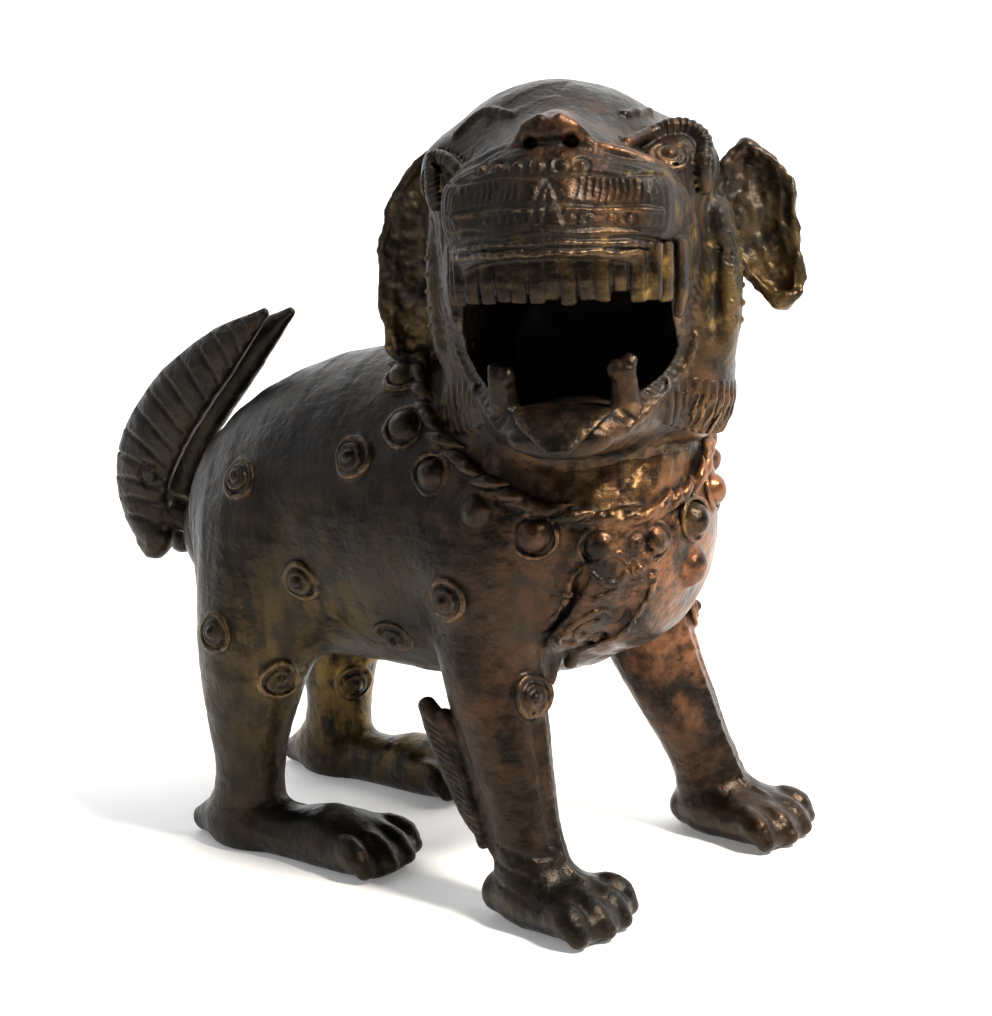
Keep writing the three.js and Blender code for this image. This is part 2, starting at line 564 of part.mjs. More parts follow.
// ---------- the tail: two flame lobes on a root lug, curling up over the rump ----------
const RUMP = torsoY(1);
const TAIL_LOW = TORSO_AXIS_Z - 12;
const tailZ = (share) => TAIL_LOW + share * TAIL_RISE;
const tailStations = [
  [0, RUMP + 14, tailZ(0.00), 0.34, 2.6],
  [0, RUMP + 18, tailZ(0.16), 0.46, 5.4],
  [0, RUMP + 16, tailZ(0.38), 0.50, 7.6],
  [0, RUMP + 6, tailZ(0.62), 0.50, 6.8],
  [0, RUMP - 5, tailZ(0.84), 0.40, 4.6],
  [0, RUMP - 14, tailZ(1.00), 0.20, 1.4],
];
const tailLobe = (shift, inward) => (grow) => loft(
  tailStations.map(([, y, z, wide, deep]) => [
    shift, y - inward, z - 0.5 * inward, wide * TAIL_THICKNESS, deep,
  ]),
  { sides: 10, steps: 9, grow },
);
const tailRoot = (grow) => loft([
  [0, RUMP - 3, TAIL_LOW + 4, 4.2, 4.0],
  [0, RUMP + 5, TAIL_LOW + 3, 3.6, 3.2],
  [0, RUMP + 15, TAIL_LOW + 6, 3.4, 3.0],
], { sides: 10, steps: 5, grow });

// ---------- trim on the body ----------
const bossProfile = (grow) => [
  [0, -4], [BOSS_RADIUS + grow, -4], [BOSS_RADIUS + grow, 0.7 + grow], [BOSS_RADIUS - 1.1, 1.7 + grow],
  [2.5 + grow, 1.3 + grow], [2.0 + grow, 2.5 + grow], [0, 3.3 + grow],
];
const BOSS_STAND = 0.4;           // the ring stands proud of the skin by this much more
const bossOn = ({ point, facing }) => (grow) => {
  const foot = point.clone().addScaledVector(facing, BOSS_STAND);
  return turned(bossProfile(grow), foot, facing, 10);
};
// Name, share of the torso's length from the chest, and angle round the barrel.
const TORSO_BOSSES = [
  ['boss_ribs_right', 0.50, 27],
  ['boss_rump_right', 0.76, 24],
  ['boss_flank_right', 0.62, -17],
  ['boss_belly_right', 0.45, -38],
  ['boss_back', 0.47, 72],
  ['boss_ribs_left', 0.52, 153],
  ['boss_flank_left', 0.64, 195],
];

// A point on an upright limb: `share` of the way down it, and `angle` round it in
// degrees, 0 towards the lion's right and 90 to the front.
function onLimb(stations, share, angle) {
  const { at, half } = sampler(stations)(share);
  const outwards = new THREE.Vector3(-Math.cos(angle * DEGREE), -Math.sin(angle * DEGREE), 0);
  const point = at.clone().add(new THREE.Vector3(outwards.x * half.x, outwards.y * half.y, 0));
  return { point, facing: outwards };
}

const LIMB_BOSSES = [
  ['boss_shoulder_right', forelegStations(RIGHT), 0.06, -10],
  ['boss_foreleg_right', forelegStations(RIGHT), 0.32, 72],
  ['boss_foreleg_left', forelegStations(LEFT), 0.27, 125],
  ['boss_thigh_right', hindLegStations(RIGHT), 0.13, -8],
  ['boss_knee_right', hindLegStations(RIGHT), 0.28, 62],
  ['boss_shin_left', hindLegStations(LEFT), 0.56, 60],
];

const BELLS = 12;
const BELL_SPREAD = 245;          // degrees of the collar that the bells fill
function bellShape(index) {
  const angle = BELL_SPREAD * DEGREE * (index / (BELLS - 1) - 0.5);
  const rope = ropeAt(angle);
  const place = rope.clone();
  place.z -= COLLAR_ROPE + BELL_RADIUS;
  const drop = seatedOnTorso(place, 0.4 * BELL_RADIUS).sub(rope);
  const hung = rope.addScaledVector(drop, (COLLAR_ROPE + BELL_RADIUS - 0.5) / drop.length());
  return (grow) => ellipsoid(hung.toArray(), [BELL_RADIUS, BELL_RADIUS, BELL_RADIUS], {
    grow, around: 10, down: 6,
  });
}

// The bib hangs on the chest, a little to the side that the head is turned to.
const BIB_TURN = -30;             // degrees
const bibAcross = X.clone().applyAxisAngle(Z, BIB_TURN * DEGREE);
const bibShape = (grow) => {
  const strip = [
    [0.09, 22, 6.5, 2.4],
    [0.07, 6, 8.5, 2.4],
    [0.075, -24, 8.0, 2.4],
    [0.12, -52, 4.0, 2.2],
  ];
  const stations = strip.map(([share, angle, wide, thick]) => {
    const { point, facing } = onTorso(share, angle);
    point.addScaledVector(facing, 0.5);
    return [...point.toArray(), wide, thick];
  });
  return loft(stations, { side: bibAcross, sides: 12, steps: 7, grow });
};

// ---------- assembly ----------
const METALNESS = 0.9;
const COLOURS = {
  dark: [0x3a2d24, 0.42],
  copper: [0x6b3a26, 0.38],
  gold: [0x6f5a2c, 0.45],
};

// Pieces in the order in which they are fitted: each is trimmed to clear the ones before it.
// A later piece may stand in the hollow of a piece that is `open`.
const pieces = [];
function piece(name, tone, shape, hollow = null, open = false) {
  pieces.push({ name, tone, shape, hollow, open });
}

piece('torso_shell', 'dark', torsoOuter, (grow) => torsoInner(grow).add(neckBore(grow)));
const skullHollow = (grow) => skullInner(grow).add(neckBore(grow)).add(mouthCut(grow));
piece('head_shell', 'dark', skullOuter, skullHollow);
piece('neck_sleeve', 'copper', neckOuter, neckBore);
piece('upper_jaw', 'dark', snoutOuter, snoutHollow, true);
piece('lower_jaw', 'dark', jawOuter, (grow) => jawHollow(grow).add(neckBore(grow)), true);
piece('nose', 'copper', noseShape);
piece('upper_teeth', 'gold', upperTeeth);
piece('tongue', 'dark', tongueShape);
for (const [side, word] of [[RIGHT, 'right'], [LEFT, 'left']]) {
  piece(`foreleg_${word}`, side === LEFT ? 'copper' : 'dark', foreleg(side));
  piece(`hind_leg_${word}`, 'dark', hindLeg(side));
  piece(`elbow_fin_${word}`, 'dark', elbowFin(side));
  piece(`snout_strap_${word}`, 'copper', snoutStrap(side));
  piece(`eye_${word}`, 'dark', eyeShape(side));
  piece(`brow_rope_${word}`, 'dark', browRope(side));
  piece(`ear_${word}`, 'gold', earOuter(side), earHollow(side));
  piece(`corner_fang_${word}`, 'gold', cornerFang(side));
  piece(`lower_fang_${word}`, 'dark', lowerFang(side));
  piece(`cheek_ruff_${word}`, 'dark', cheekRuff(side));
  piece(`cheek_flap_${word}`, 'dark', cheekFlap(side));
}
piece('tail_lobe_right', 'dark', tailLobe(-0.5 * TAIL_THICKNESS, 0));
piece('tail_lobe_left', 'dark', tailLobe(0.5 * TAIL_THICKNESS, 3));
piece('tail_root', 'dark', tailRoot);
piece('collar_rope', 'copper', collarShape);
piece('chest_bib', 'copper', bibShape);
for (let index = 0; index < BELLS; index += 1) {
  piece(`bell_${index + 1}`, 'copper', bellShape(index));
}
for (const [name, share, angle] of TORSO_BOSSES) {
  piece(name, 'dark', bossOn(onTorso(share, angle)));
}
for (const [name, stations, share, angle] of LIMB_BOSSES) {
  piece(name, 'dark', bossOn(onLimb(stations, share, angle)));
}

function bounds(solid) {
  const { vertProperties, numProp } = solid.getMesh();
  const box = new THREE.Box3();
  for (let i = 0; i < vertProperties.length; i += numProp) {
    box.expandByPoint(new THREE.Vector3().fromArray(vertProperties, i));
  }
  return box;
}

// The largest connected body of a solid, as a geometry.
function largestBody(solid) {
  const { vertProperties, triVerts, numProp } = solid.getMesh();
  const owner = Array.from({ length: vertProperties.length / numProp }, (_, i) => i);
  const find = (i) => {
    let top = i;
    while (owner[top] !== top) top = owner[top];
    owner[i] = top;
    return top;
  };
  for (let t = 0; t < triVerts.length; t += 3) {
    owner[find(triVerts[t + 1])] = find(triVerts[t]);
    owner[find(triVerts[t + 2])] = find(triVerts[t]);
  }
  const volume = new Map();
  const corner = (i) => new THREE.Vector3().fromArray(vertProperties, i * numProp);
  for (let t = 0; t < triVerts.length; t += 3) {
    const [a, b, c] = [corner(triVerts[t]), corner(triVerts[t + 1]), corner(triVerts[t + 2])];
    const body = find(triVerts[t]);
    volume.set(body, (volume.get(body) ?? 0) + a.dot(b.cross(c)) / 6);
  }
  const ranked = [...volume.entries()].sort((one, two) => two[1] - one[1]);
  const faces = [];
  for (let t = 0; t < triVerts.length; t += 3) {
    if (find(triVerts[t]) === ranked[0][0]) faces.push(triVerts[t], triVerts[t + 1], triVerts[t + 2]);
  }
  const geometry = new THREE.BufferGeometry();
  geometry.setAttribute('position', new THREE.Float32BufferAttribute(vertProperties, 3));
  geometry.setIndex(faces);
  return mergeVertices(geometry.toNonIndexed(), 1e-4);
}

const figure = new THREE.Group();
const fitted = [];
const whole = new THREE.Box3();
for (const { name, tone, shape, hollow, open } of pieces) {
  let solid = shape(0);
  if (hollow) solid = solid.subtract(hollow(0));
  const box = bounds(solid).expandByScalar(GAP);
  for (const earlier of fitted) {
    if (box.intersectsBox(earlier.box)) solid = solid.subtract(earlier.cutter);
  }
  const cutter = open ? shape(GAP).subtract(hollow(-GAP)) : shape(GAP);
  fitted.push({ cutter, box: bounds(cutter) });
  const [color, roughness] = COLOURS[tone];
  const material = new THREE.MeshStandardMaterial({ color, roughness, metalness: METALNESS });
  const mesh = new THREE.Mesh(largestBody(solid), material);
  mesh.name = name;
  whole.expandByObject(mesh);
  figure.add(mesh);
}

// The origin goes on the floor under the middle of the finished figure.
const middle = whole.getCenter(new THREE.Vector3());
figure.position.set(-middle.x, -middle.y, -whole.min.z);
const statue = new THREE.Group();
statue.add(figure);

export default statue;
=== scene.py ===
# A foo dog cast in bronze by the lost wax way: rolled threads, pellets, punched rings
# and scratched hair laid on a smooth body, then cast thin and left to darken.
# Sizes are millimetres in the modelling and metres in the scene. +Z is up, the body
# faces -Y and the lion's right side is at -X.
from math import copysign, cos, pi, radians, sin, tan

import bpy
import mathutils
import numpy as np
import openvdb
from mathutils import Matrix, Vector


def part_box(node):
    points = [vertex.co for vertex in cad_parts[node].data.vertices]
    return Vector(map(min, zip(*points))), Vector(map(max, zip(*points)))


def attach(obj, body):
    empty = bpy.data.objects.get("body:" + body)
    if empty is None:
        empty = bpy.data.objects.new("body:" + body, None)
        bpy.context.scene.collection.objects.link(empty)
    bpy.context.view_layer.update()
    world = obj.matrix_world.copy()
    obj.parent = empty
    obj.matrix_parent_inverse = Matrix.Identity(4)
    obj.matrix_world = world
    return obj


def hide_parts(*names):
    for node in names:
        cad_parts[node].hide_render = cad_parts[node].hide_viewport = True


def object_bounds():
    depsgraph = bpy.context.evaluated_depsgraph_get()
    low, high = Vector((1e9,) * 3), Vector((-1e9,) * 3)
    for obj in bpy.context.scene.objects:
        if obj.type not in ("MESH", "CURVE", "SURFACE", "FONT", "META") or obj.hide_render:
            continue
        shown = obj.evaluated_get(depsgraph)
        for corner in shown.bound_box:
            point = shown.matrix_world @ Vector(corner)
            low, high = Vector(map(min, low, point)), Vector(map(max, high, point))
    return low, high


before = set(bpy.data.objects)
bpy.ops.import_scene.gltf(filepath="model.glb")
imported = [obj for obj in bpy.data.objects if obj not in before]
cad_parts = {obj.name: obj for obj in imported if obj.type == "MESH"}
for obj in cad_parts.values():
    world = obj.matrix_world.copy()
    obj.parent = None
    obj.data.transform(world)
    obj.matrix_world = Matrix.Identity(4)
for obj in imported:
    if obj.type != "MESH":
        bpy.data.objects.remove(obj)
cad_low, cad_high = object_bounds()

MM = 0.001
FAR = 9.0                      # distances are not followed further than this
COARSE = 1.0
RIGHT, LEFT = -1, 1
SIDES = ((RIGHT, "right"), (LEFT, "left"))
X, Y, Z = np.eye(3)
rng = np.random.default_rng(11)


def corners(node):
    """The lowest and highest corner of a frame node, in mm."""
    low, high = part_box(node)
    return np.array(low) / MM, np.array(high) / MM


def middle(node):
    low, high = corners(node)
    return (low + high) / 2


def unit(v):
    v = np.asarray(v, float)
    return v / np.maximum(np.linalg.norm(v, axis=-1, keepdims=True), 1e-9)


def shares(count):
    """Even steps from 0 to 1, both included."""
    return [k / (count - 1) for k in range(count)]


# ---------- distance fields ----------
def blend_in(a, b, soft):
    """The union of two fields with a fillet of about `soft`."""
    if soft <= 0:
        return np.minimum(a, b)
    overlap = np.maximum(soft - np.abs(a - b), 0) / soft
    return np.minimum(a, b) - overlap * overlap * (soft / 4)


def offset(x, y, z, at):
    return x - at[0], y - at[1], z - at[2]


def dot(p, axis):
    return p[0] * axis[0] + p[1] * axis[1] + p[2] * axis[2]


def curve(points, count):
    """An even run of `count` spans through points, by Catmull-Rom."""
    p = np.asarray(points, float)
    p = np.vstack([2 * p[0] - p[1], p, 2 * p[-1] - p[-2]])
    where = np.linspace(0, len(p) - 3, count + 1)
    span = np.minimum(where.astype(int), len(p) - 4)
    t = (where - span)[:, None]
    a, b, c, d = (p[span + k] for k in range(4))
    return 0.5 * (2 * b + (c - a) * t + (2 * a - 5 * b + 4 * c - d) * t ** 2
                  + (3 * b - a - 3 * c + d) * t ** 3)


class Place:
    """A turned and moved frame: local points and directions become the statue's."""

    def __init__(self, at=(0, 0, 0), turn=0.0, raised=0.0):
        a, b = radians(turn), radians(raised)
        about_z = np.array([[cos(a), -sin(a), 0], [sin(a), cos(a), 0], [0, 0, 1]])
        about_x = np.array([[1, 0, 0], [0, cos(b), -sin(b)], [0, sin(b), cos(b)]])
        self.at = np.array(at, float)
        self.turned = about_z @ about_x

    def point(self, p):
        return np.asarray(p, float) @ self.turned.T + self.at

    def way(self, d):
        return np.asarray(d, float) @ self.turned.T

    def inside(self, p):
        return (np.asarray(p, float) - self.at) @ self.turned


BODY = Place()


class Span:
    """One stretch of a rod between two elliptical sections."""

    def __init__(self, a, b, side, half_a, half_b, square, cap):
        self.a, self.b = a, b
        self.length = max(np.linalg.norm(b - a), 1e-6)
        self.axis = (b - a) / self.length
        deep = np.cross(self.axis, side)
        self.deep = unit(deep)
        self.across = np.cross(self.deep, self.axis)
        self.half_a, self.half_b = half_a, half_b
        self.square, self.cap = square, cap
        reach = max(*half_a, *half_b)
        self.low = np.minimum(a, b) - reach
        self.high = np.maximum(a, b) + reach

    def away(self, x, y, z):
        p = offset(x, y, z, self.a)
        s = dot(p, self.axis) / self.length
        t = np.clip(s, 0, 1)
        du, dv = self.half_b - self.half_a
        ru, rv = self.half_a[0] + t * du, self.half_a[1] + t * dv
        rw = self.cap * np.minimum(ru, rv)
        qu, qv = dot(p, self.across) / ru, dot(p, self.deep) / rv
        qw = (s - t) * self.length / rw
        if self.square == 2:
            size = np.sqrt(qu * qu + qv * qv + qw * qw)
        else:
            n = self.square
            size = (np.abs(qu) ** n + np.abs(qv) ** n + np.abs(qw) ** n) ** (1 / n)
        slope = np.sqrt((qu / ru) ** 2 + (qv / rv) ** 2 + (qw / rw) ** 2)
        return size * (size - 1) / np.maximum(slope, 1e-3)


class Shape:
    """Parts whose fields are joined, each followed only near itself."""

    def __init__(self, parts, soft=0.0, trim=None):
        self.parts, self.soft, self.trim = parts, soft, trim
        self.low = np.min([p.low for p in parts], axis=0)
        self.high = np.max([p.high for p in parts], axis=0)

    def away(self, x, y, z):
        total = None
        for part in self.parts:
            d = part.away(x, y, z)
            total = d if total is None else blend_in(total, d, self.soft)
        return self.trim(x, y, z, total) if self.trim else total

    def fill(self, clay, margin):
        total = np.full(clay.count, FAR, np.float32)
        for part in self.parts:
            where = clay.block(part.low - margin, part.high + margin)[0]
            if where is None:
                continue
            d = fill(part, clay.sub(where), margin)
            total[where] = blend_in(total[where], d, self.soft)
        if self.trim:
            _, x, y, z = clay.block(clay.low, clay.high)
            total = self.trim(x, y, z, total)
        return total


class Clay:
    """A block of evenly spaced distances that shapes are pressed into."""

    def __init__(self, low, high, pitch):
        self.low, self.pitch = np.array(low, float), pitch
        self.count = np.maximum(np.ceil((np.asarray(high) - self.low) / pitch).astype(int) + 1, 4)
        self.high = self.low + (self.count - 1) * pitch

    def axis(self, i):
        return (self.low[i] + self.pitch * np.arange(self.count[i])).astype(np.float32)

    def block(self, low, high):
        a = np.clip(np.floor((low - self.low) / self.pitch).astype(int), 0, self.count)
        b = np.clip(np.ceil((high - self.low) / self.pitch).astype(int) + 1, 0, self.count)
        if (b <= a).any():
            return None, None, None, None
        where = tuple(slice(i, j) for i, j in zip(a, b))
        x, y, z = (self.axis(i)[where[i]] for i in range(3))
        return where, x[:, None, None], y[None, :, None], z[None, None, :]

    def sub(self, where):
        start = np.array([w.start for w in where])
        stop = np.array([w.stop for w in where])
        low = self.low + start * self.pitch
        part = Clay(low, low, self.pitch)
        part.count = stop - start
        part.high = low + (part.count - 1) * self.pitch
        return part


def fill(shape, clay, margin):
    """The distances of any shape all over a block."""
    if isinstance(shape, Shape):
        return shape.fill(clay, margin)
    return shape.away(*clay.block(clay.low, clay.high)[1:])


def rod(stations, side=X, spans=12, square=2, cap=0.5, place=BODY, ends=1.0, soft=0.0):
    """A rod through stations of [x, y, z, half width, half depth]."""
    dense = curve(stations, spans)
    points = place.point(dense[:, :3])
    half = np.maximum(dense[:, 3:5], 0.25)
    side = place.way(side)
    parts = []
    for i in range(spans):
        last = i in (0, spans - 1)
        parts.append(Span(points[i], points[i + 1], side, half[i], half[i + 1], square,
                          ends if last else cap))
    return Shape(parts, soft)


class Ball:
    """An ellipsoid with its own axes."""

    def __init__(self, at, radii, place=BODY):
        self.at, self.radii = place.point(at), np.array(radii, float)
        self.axes = place.turned.T
        reach = np.abs(place.turned) @ self.radii
        self.low, self.high = self.at - reach, self.at + reach

    def away(self, x, y, z):
        p = offset(x, y, z, self.at)
        size, slope = 0, 0
        for axis, r in zip(self.axes, self.radii):
            q = dot(p, axis) / r
            size = size + q * q
            slope = slope + (q / r) ** 2
        size = np.sqrt(size)
        return size * (size - 1) / np.maximum(np.sqrt(slope), 1e-3)


class Block:
    """A box with rounded edges, in a placed frame."""

    def __init__(self, low, high, rounded, place=BODY):
        low, high = np.asarray(low, float), np.asarray(high, float)
        self.at = place.point((low + high) / 2)
        self.half = (high - low) / 2 - rounded
        self.rounded, self.axes = rounded, place.turned.T
        reach = np.abs(place.turned) @ (self.half + rounded)
        self.low, self.high = self.at - reach, self.at + reach

    def away(self, x, y, z):
        p = offset(x, y, z, self.at)
        outside, inside = 0, None
        for axis, h in zip(self.axes, self.half):
            q = np.abs(dot(p, axis)) - h
            outside = outside + np.maximum(q, 0) ** 2
            inside = q if inside is None else np.maximum(inside, q)
        return np.sqrt(outside) + np.minimum(inside, 0) - self.rounded


class Knob:
    """A turned trim piece: rings of wax thread about a nub, on a seat facing outwards."""

    def __init__(self, seat, facing, rings, nub, wobble=0.0, phase=0.0, mound=0.0):
        self.seat, self.facing = np.asarray(seat, float), unit(facing)
        self.side = unit(np.cross(self.facing, Z + 0.3 * X))
        self.up = np.cross(self.facing, self.side)
        self.rings, self.nub, self.wobble, self.phase, self.mound = rings, nub, wobble, phase, mound
        reach = max([r[0] + r[2] for r in rings] + [nub[1]]) + wobble + 1
        self.low, self.high = self.seat - reach, self.seat + reach

    def away(self, x, y, z):
        p = offset(x, y, z, self.seat)
        h, u, v = (dot(p, way) for way in (self.facing, self.side, self.up))
        q = np.sqrt(u * u + v * v)
        angle = np.arctan2(v, u)
        wave = self.wobble * np.sin(angle + self.phase) + 0.4 * self.wobble * np.sin(3 * angle + self.phase)
        total = np.sqrt(q * q + (h - self.nub[0]) ** 2) - self.nub[1]
        for radius, lift, thick in self.rings:
            ring = np.sqrt((q - radius - wave * radius / self.rings[0][0]) ** 2 + (h - lift) ** 2) - thick
            total = blend_in(total, ring, 0.25)
        base = self.rings[0][0]
        flat = base / (self.mound + 1.2)
        floor = (np.sqrt(q * q + (flat * (h + .9)) ** 2) - base) / flat
        return blend_in(total, floor, 0.2)


class Thread:
    """A line pressed into the surface (`deep`) or a wax thread laid on it."""

    def __init__(self, points, radius, deep=True, soft=0.25):
        self.points = np.asarray(points, float)
        self.radius = np.broadcast_to(np.asarray(radius, float), len(self.points))
        self.deep, self.soft = deep, soft
        reach = self.radius.max() + soft
        self.low = self.points.min(0) - reach
        self.high = self.points.max(0) + reach

    def press(self, clay, value):
        reach = self.radius.max() + self.soft + clay.pitch
        for i in range(len(self.points) - 1):
            a, b = self.points[i], self.points[i + 1]
            where, x, y, z = clay.block(np.minimum(a, b) - reach, np.maximum(a, b) + reach)
            if where is None:
                continue
            d = b - a
            px, py, pz = p = offset(x, y, z, a)
            t = np.clip(dot(p, d) / max(d @ d, 1e-9), 0, 1)
            gone = np.sqrt((px - t * d[0]) ** 2 + (py - t * d[1]) ** 2 + (pz - t * d[2]) ** 2)
            gone = gone - (self.radius[i] + t * (self.radius[i + 1] - self.radius[i]))
            old = value[where]
            if self.deep:
                value[where] = -blend_in(-old, gone, self.soft)
            else:
                value[where] = blend_in(old, gone, self.soft)


# ---------- the stack of shapes, in the order in which they are laid on ----------
stack = []                     # (kind, name, shape, soft): kind is "lay" or "cut"
threads = []
finish = {}                    # what each piece is cast with, in the order of laying


def lay(name, shape, soft, pitch, slot="bronze_dark", rough=1.0):
    stack.append(("lay", name, shape, soft))
    finish[name] = {"pitch": pitch, "slot": slot, "level": len(finish), "rough": rough}


def cut(shape, soft=0.6):
    stack.append(("cut", None, shape, soft))


def field_at(points, names):
    """The joined field of the named shapes at points, for finding the surface."""
    p = np.asarray(points, float)
    x, y, z = p[..., 0], p[..., 1], p[..., 2]
    total = None
    for _, name, shape, soft in stack:
        if name in names:
            d = shape.away(x, y, z)
            total = d if total is None else blend_in(total, d, soft)
    return total


def facing_at(points, names):
    step = 0.4
    p = np.asarray(points, float)
    return unit(np.stack([field_at(p + step * w, names) - field_at(p - step * w, names)
                          for w in (X, Y, Z)], axis=-1))


CLEAR = 60.0                   # far enough out for a ray to start off the statue


def strike(origin, way, names, reach=90.0, steps=180):
    """Where rays first meet the surface. Rays that miss keep their last point."""
    origin = np.atleast_2d(np.asarray(origin, float))
    way = np.broadcast_to(unit(way), origin.shape)
    far = np.linspace(0, reach, steps)
    line = origin[:, None] + way[:, None] * far[None, :, None]
    d = field_at(line, names)
    inside = d < 0
    first = np.where(inside.any(1), inside.argmax(1), steps - 1)
    first = np.maximum(first, 1)
    rows = np.arange(len(origin))
    before, after = d[rows, first - 1], d[rows, first]
    share = before / np.where(np.abs(before - after) < 1e-6, 1, before - after)
    at = far[first - 1] + np.clip(share, 0, 1) * (far[1] - far[0])
    return origin + way * at[:, None], inside.any(1)


def settle(points, names, turns=8):
    """Moves points to the nearest place on the surface."""
    p = np.atleast_2d(np.asarray(points, float)).copy()
    for _ in range(turns):
        p -= 0.9 * field_at(p, names)[:, None] * facing_at(p, names)
    return p


# ---------- sizes taken from the frame ----------
torso_low, torso_high = corners("torso_shell")
CHEST, RUMP = torso_low[1] + 1.3, torso_high[1] - 3.3
LONG, WIDE, TALL = RUMP - CHEST, 55.0, 62.0
MID_X = (torso_low[0] + torso_high[0]) / 2
AXIS_Z = (torso_low[2] + torso_high[2]) / 2 - 0.6
SHOULDER, HIP = CHEST + 0.27 * LONG, CHEST + 0.80 * LONG
skull_low, skull_high = corners("head_shell")
HEAD_TURN, HEAD_RAISED = -69, -9
HEAD = Place(((skull_low[0] + skull_high[0]) / 2 - 0.9, (skull_low[1] + skull_high[1]) / 2 - 0.6,
              skull_high[2] - 35.7), HEAD_TURN, HEAD_RAISED)
HEAD_W, HEAD_L, HEAD_H = 50.0, 46.0, 62.0
CHEEK = HEAD_W / 2
MUZZLE_W, REACH, MUZZLE_H = 40.0, 30.0, 17.5
LIP, JAW_DROP = 4.0, 25.0
SNOUT, SNOUT_DEEP = MUZZLE_W / 2, MUZZLE_H / 2
BRIDGE = LIP + MUZZLE_H
LEG = 6.4


def torso_spot(share, angle):
    """A point well off the torso, and the way back to its axis; angle 0 is the right side."""
    c, s = -cos(radians(angle)), sin(radians(angle))
    at = np.array([MID_X + CLEAR * c, CHEST + share * LONG, AXIS_Z + CLEAR * s])
    return at, np.array([-c, 0, -s])


# ---------- body ----------
def model_torso():
    sections = [[0, -.09, .14, .13], [.03, -.07, .5, .44], [.08, -.05, .74, .66], [.15, -.01, .9, .83],
                [.27, .02, 1, .95], [.42, .01, 1, 1], [.6, 0, .96, .97], [.78, -.06, .89, .86],
                [.91, -.12, .68, .65], [1, -.16, .32, .36]]
    barrel = rod([[MID_X, CHEST + s * LONG, AXIS_Z + r * TALL, w * WIDE / 2, h * TALL / 2]
                  for s, r, w, h in sections], spans=22, cap=0.35, soft=0.0)
    lay("torso_shell", barrel, 0, 0.62)


NECK_FOOT = np.array([MID_X, CHEST + 0.27 * LONG, AXIS_Z + 0.12 * TALL])
NECK_TOP = HEAD.at + [3, 0, -4]


def model_neck():
    foot, top = NECK_FOOT, NECK_TOP
    at = [foot + s * (top - foot) for s in (0, .5, .85)]
    neck = rod([[*at[0], 23, 23], [*at[1], 22, 22], [*at[2], 21.4, 21.4]], spans=6, cap=0.2, ends=0.2)
    lay("neck_sleeve", neck, 4, 0.5, "bronze_copper")


FORE_STEP = {LEFT: (3, 20), RIGHT: (0, 16)}      # how far the limb leads, and its slope
FORE_OUT, HIND_LAG = 26.5, {LEFT: 11, RIGHT: 0}


def foreleg_stations(side):
    lead, reach = FORE_STEP[side]
    top, foot = side * WIDE * 0.35, side * FORE_OUT
    y = SHOULDER - lead
    return [[MID_X + top, y + 1, AXIS_Z + 4, 8, 12],
            [MID_X + top + .08 * (foot - top), y, AXIS_Z - 6, 9.4, 11.5],
            [MID_X + top + .3 * (foot - top), y - .1 * reach, .68 * AXIS_Z, 8.6, 9.8],
            [MID_X + top + .6 * (foot - top), y - .35 * reach, .45 * AXIS_Z, LEG + .8, LEG + 1.4],
            [MID_X + top + .88 * (foot - top), y - .6 * reach, .25 * AXIS_Z, LEG - .3, LEG],
            [MID_X + foot, y - .74 * reach, .1 * AXIS_Z, LEG + .9, LEG + .8]]


def paw(x, heel, length, half, lift, thick, toes):
    """A paw with its toes spread at the front, each ending in a short claw."""
    parts = [rod([[x, heel, 4.2, .5 * half, 4.0], [x, heel - .3 * length, 4.8, .74 * half, 5.8],
                  [x, heel - .64 * length, 4.0, .90 * half, 5.0],
                  [x, heel - .86 * length, 2.6, .86 * half, 3.4]], spans=6)]
    for i in range(toes):
        spread = (i - (toes - 1) / 2) / ((toes - 1) / 2)
        out = .77 * half * spread
        short = .10 * length * spread * spread
        w = .96 * half / toes
        parts.append(rod([
            [x + .72 * out, heel - .54 * length, lift + .1, w, .8 * thick],
            [x + .90 * out, heel - .74 * length + .4 * short, lift + .35, 1.08 * w, thick],
            [x + out, heel - .88 * length + .7 * short, lift - .5, 1.12 * w, .95 * thick],
            [x + 1.04 * out, heel - .985 * length + short, lift - 2.4, .8 * w, .6 * thick],
        ], spans=6))
    return parts


def model_legs():
    for side, word in SIDES:
        lead, reach = FORE_STEP[side]
        heel = SHOULDER - lead - reach + 10.6
        x = MID_X + side * FORE_OUT
        limb = rod(foreleg_stations(side), spans=14)
        foot = Shape(paw(x, heel, 23, 10, 4.6, 3.1, 4), 0.7)
        lay(f"foreleg_{word}", Shape([limb, foot], 2.2, on_floor), 5, 0.46,
            "bronze_copper" if side == LEFT else "bronze_dark")
    for side, word in SIDES:
        x, hip = MID_X + side * 20.5, HIP + HIND_LAG[side]
        limb = rod([[MID_X + side * WIDE * .28, hip - 5, AXIS_Z - 6, 11, 15],
                    [MID_X + side * WIDE * .31, hip - 3, AXIS_Z - 14, 11, 14.5],
                    [MID_X + side * WIDE * .36, hip - 1, .58 * AXIS_Z, 9.5, 12],
                    [x, hip + 1, .37 * AXIS_Z, LEG + .8, LEG + 2],
                    [x, hip + 2, .2 * AXIS_Z, LEG - .3, LEG + .8],
                    [x, hip + 3, .06 * AXIS_Z, LEG + .4, LEG + 3]], spans=14)
        heel, length = hip + 15, 49
        sole = rod([[x, heel, 2.6, 2.2, 2.6], [x, heel - .16 * length, 4.4, 5.2, 5.4],
                    [x, heel - .4 * length, 4.0, 6.2, 5.4], [x, heel - .6 * length, 3.2, 6.6, 4.4],
                    [x, heel - .8 * length, 4.0, 7.4, 4.4]], spans=9)
        toes = Shape(paw(x, heel - .5 * length, .5 * length, 9.4, 4.9, 3.0, 4), 0.7)
        lay(f"hind_leg_{word}", Shape([limb, sole, toes], 2.0, on_floor), 6, 0.5)


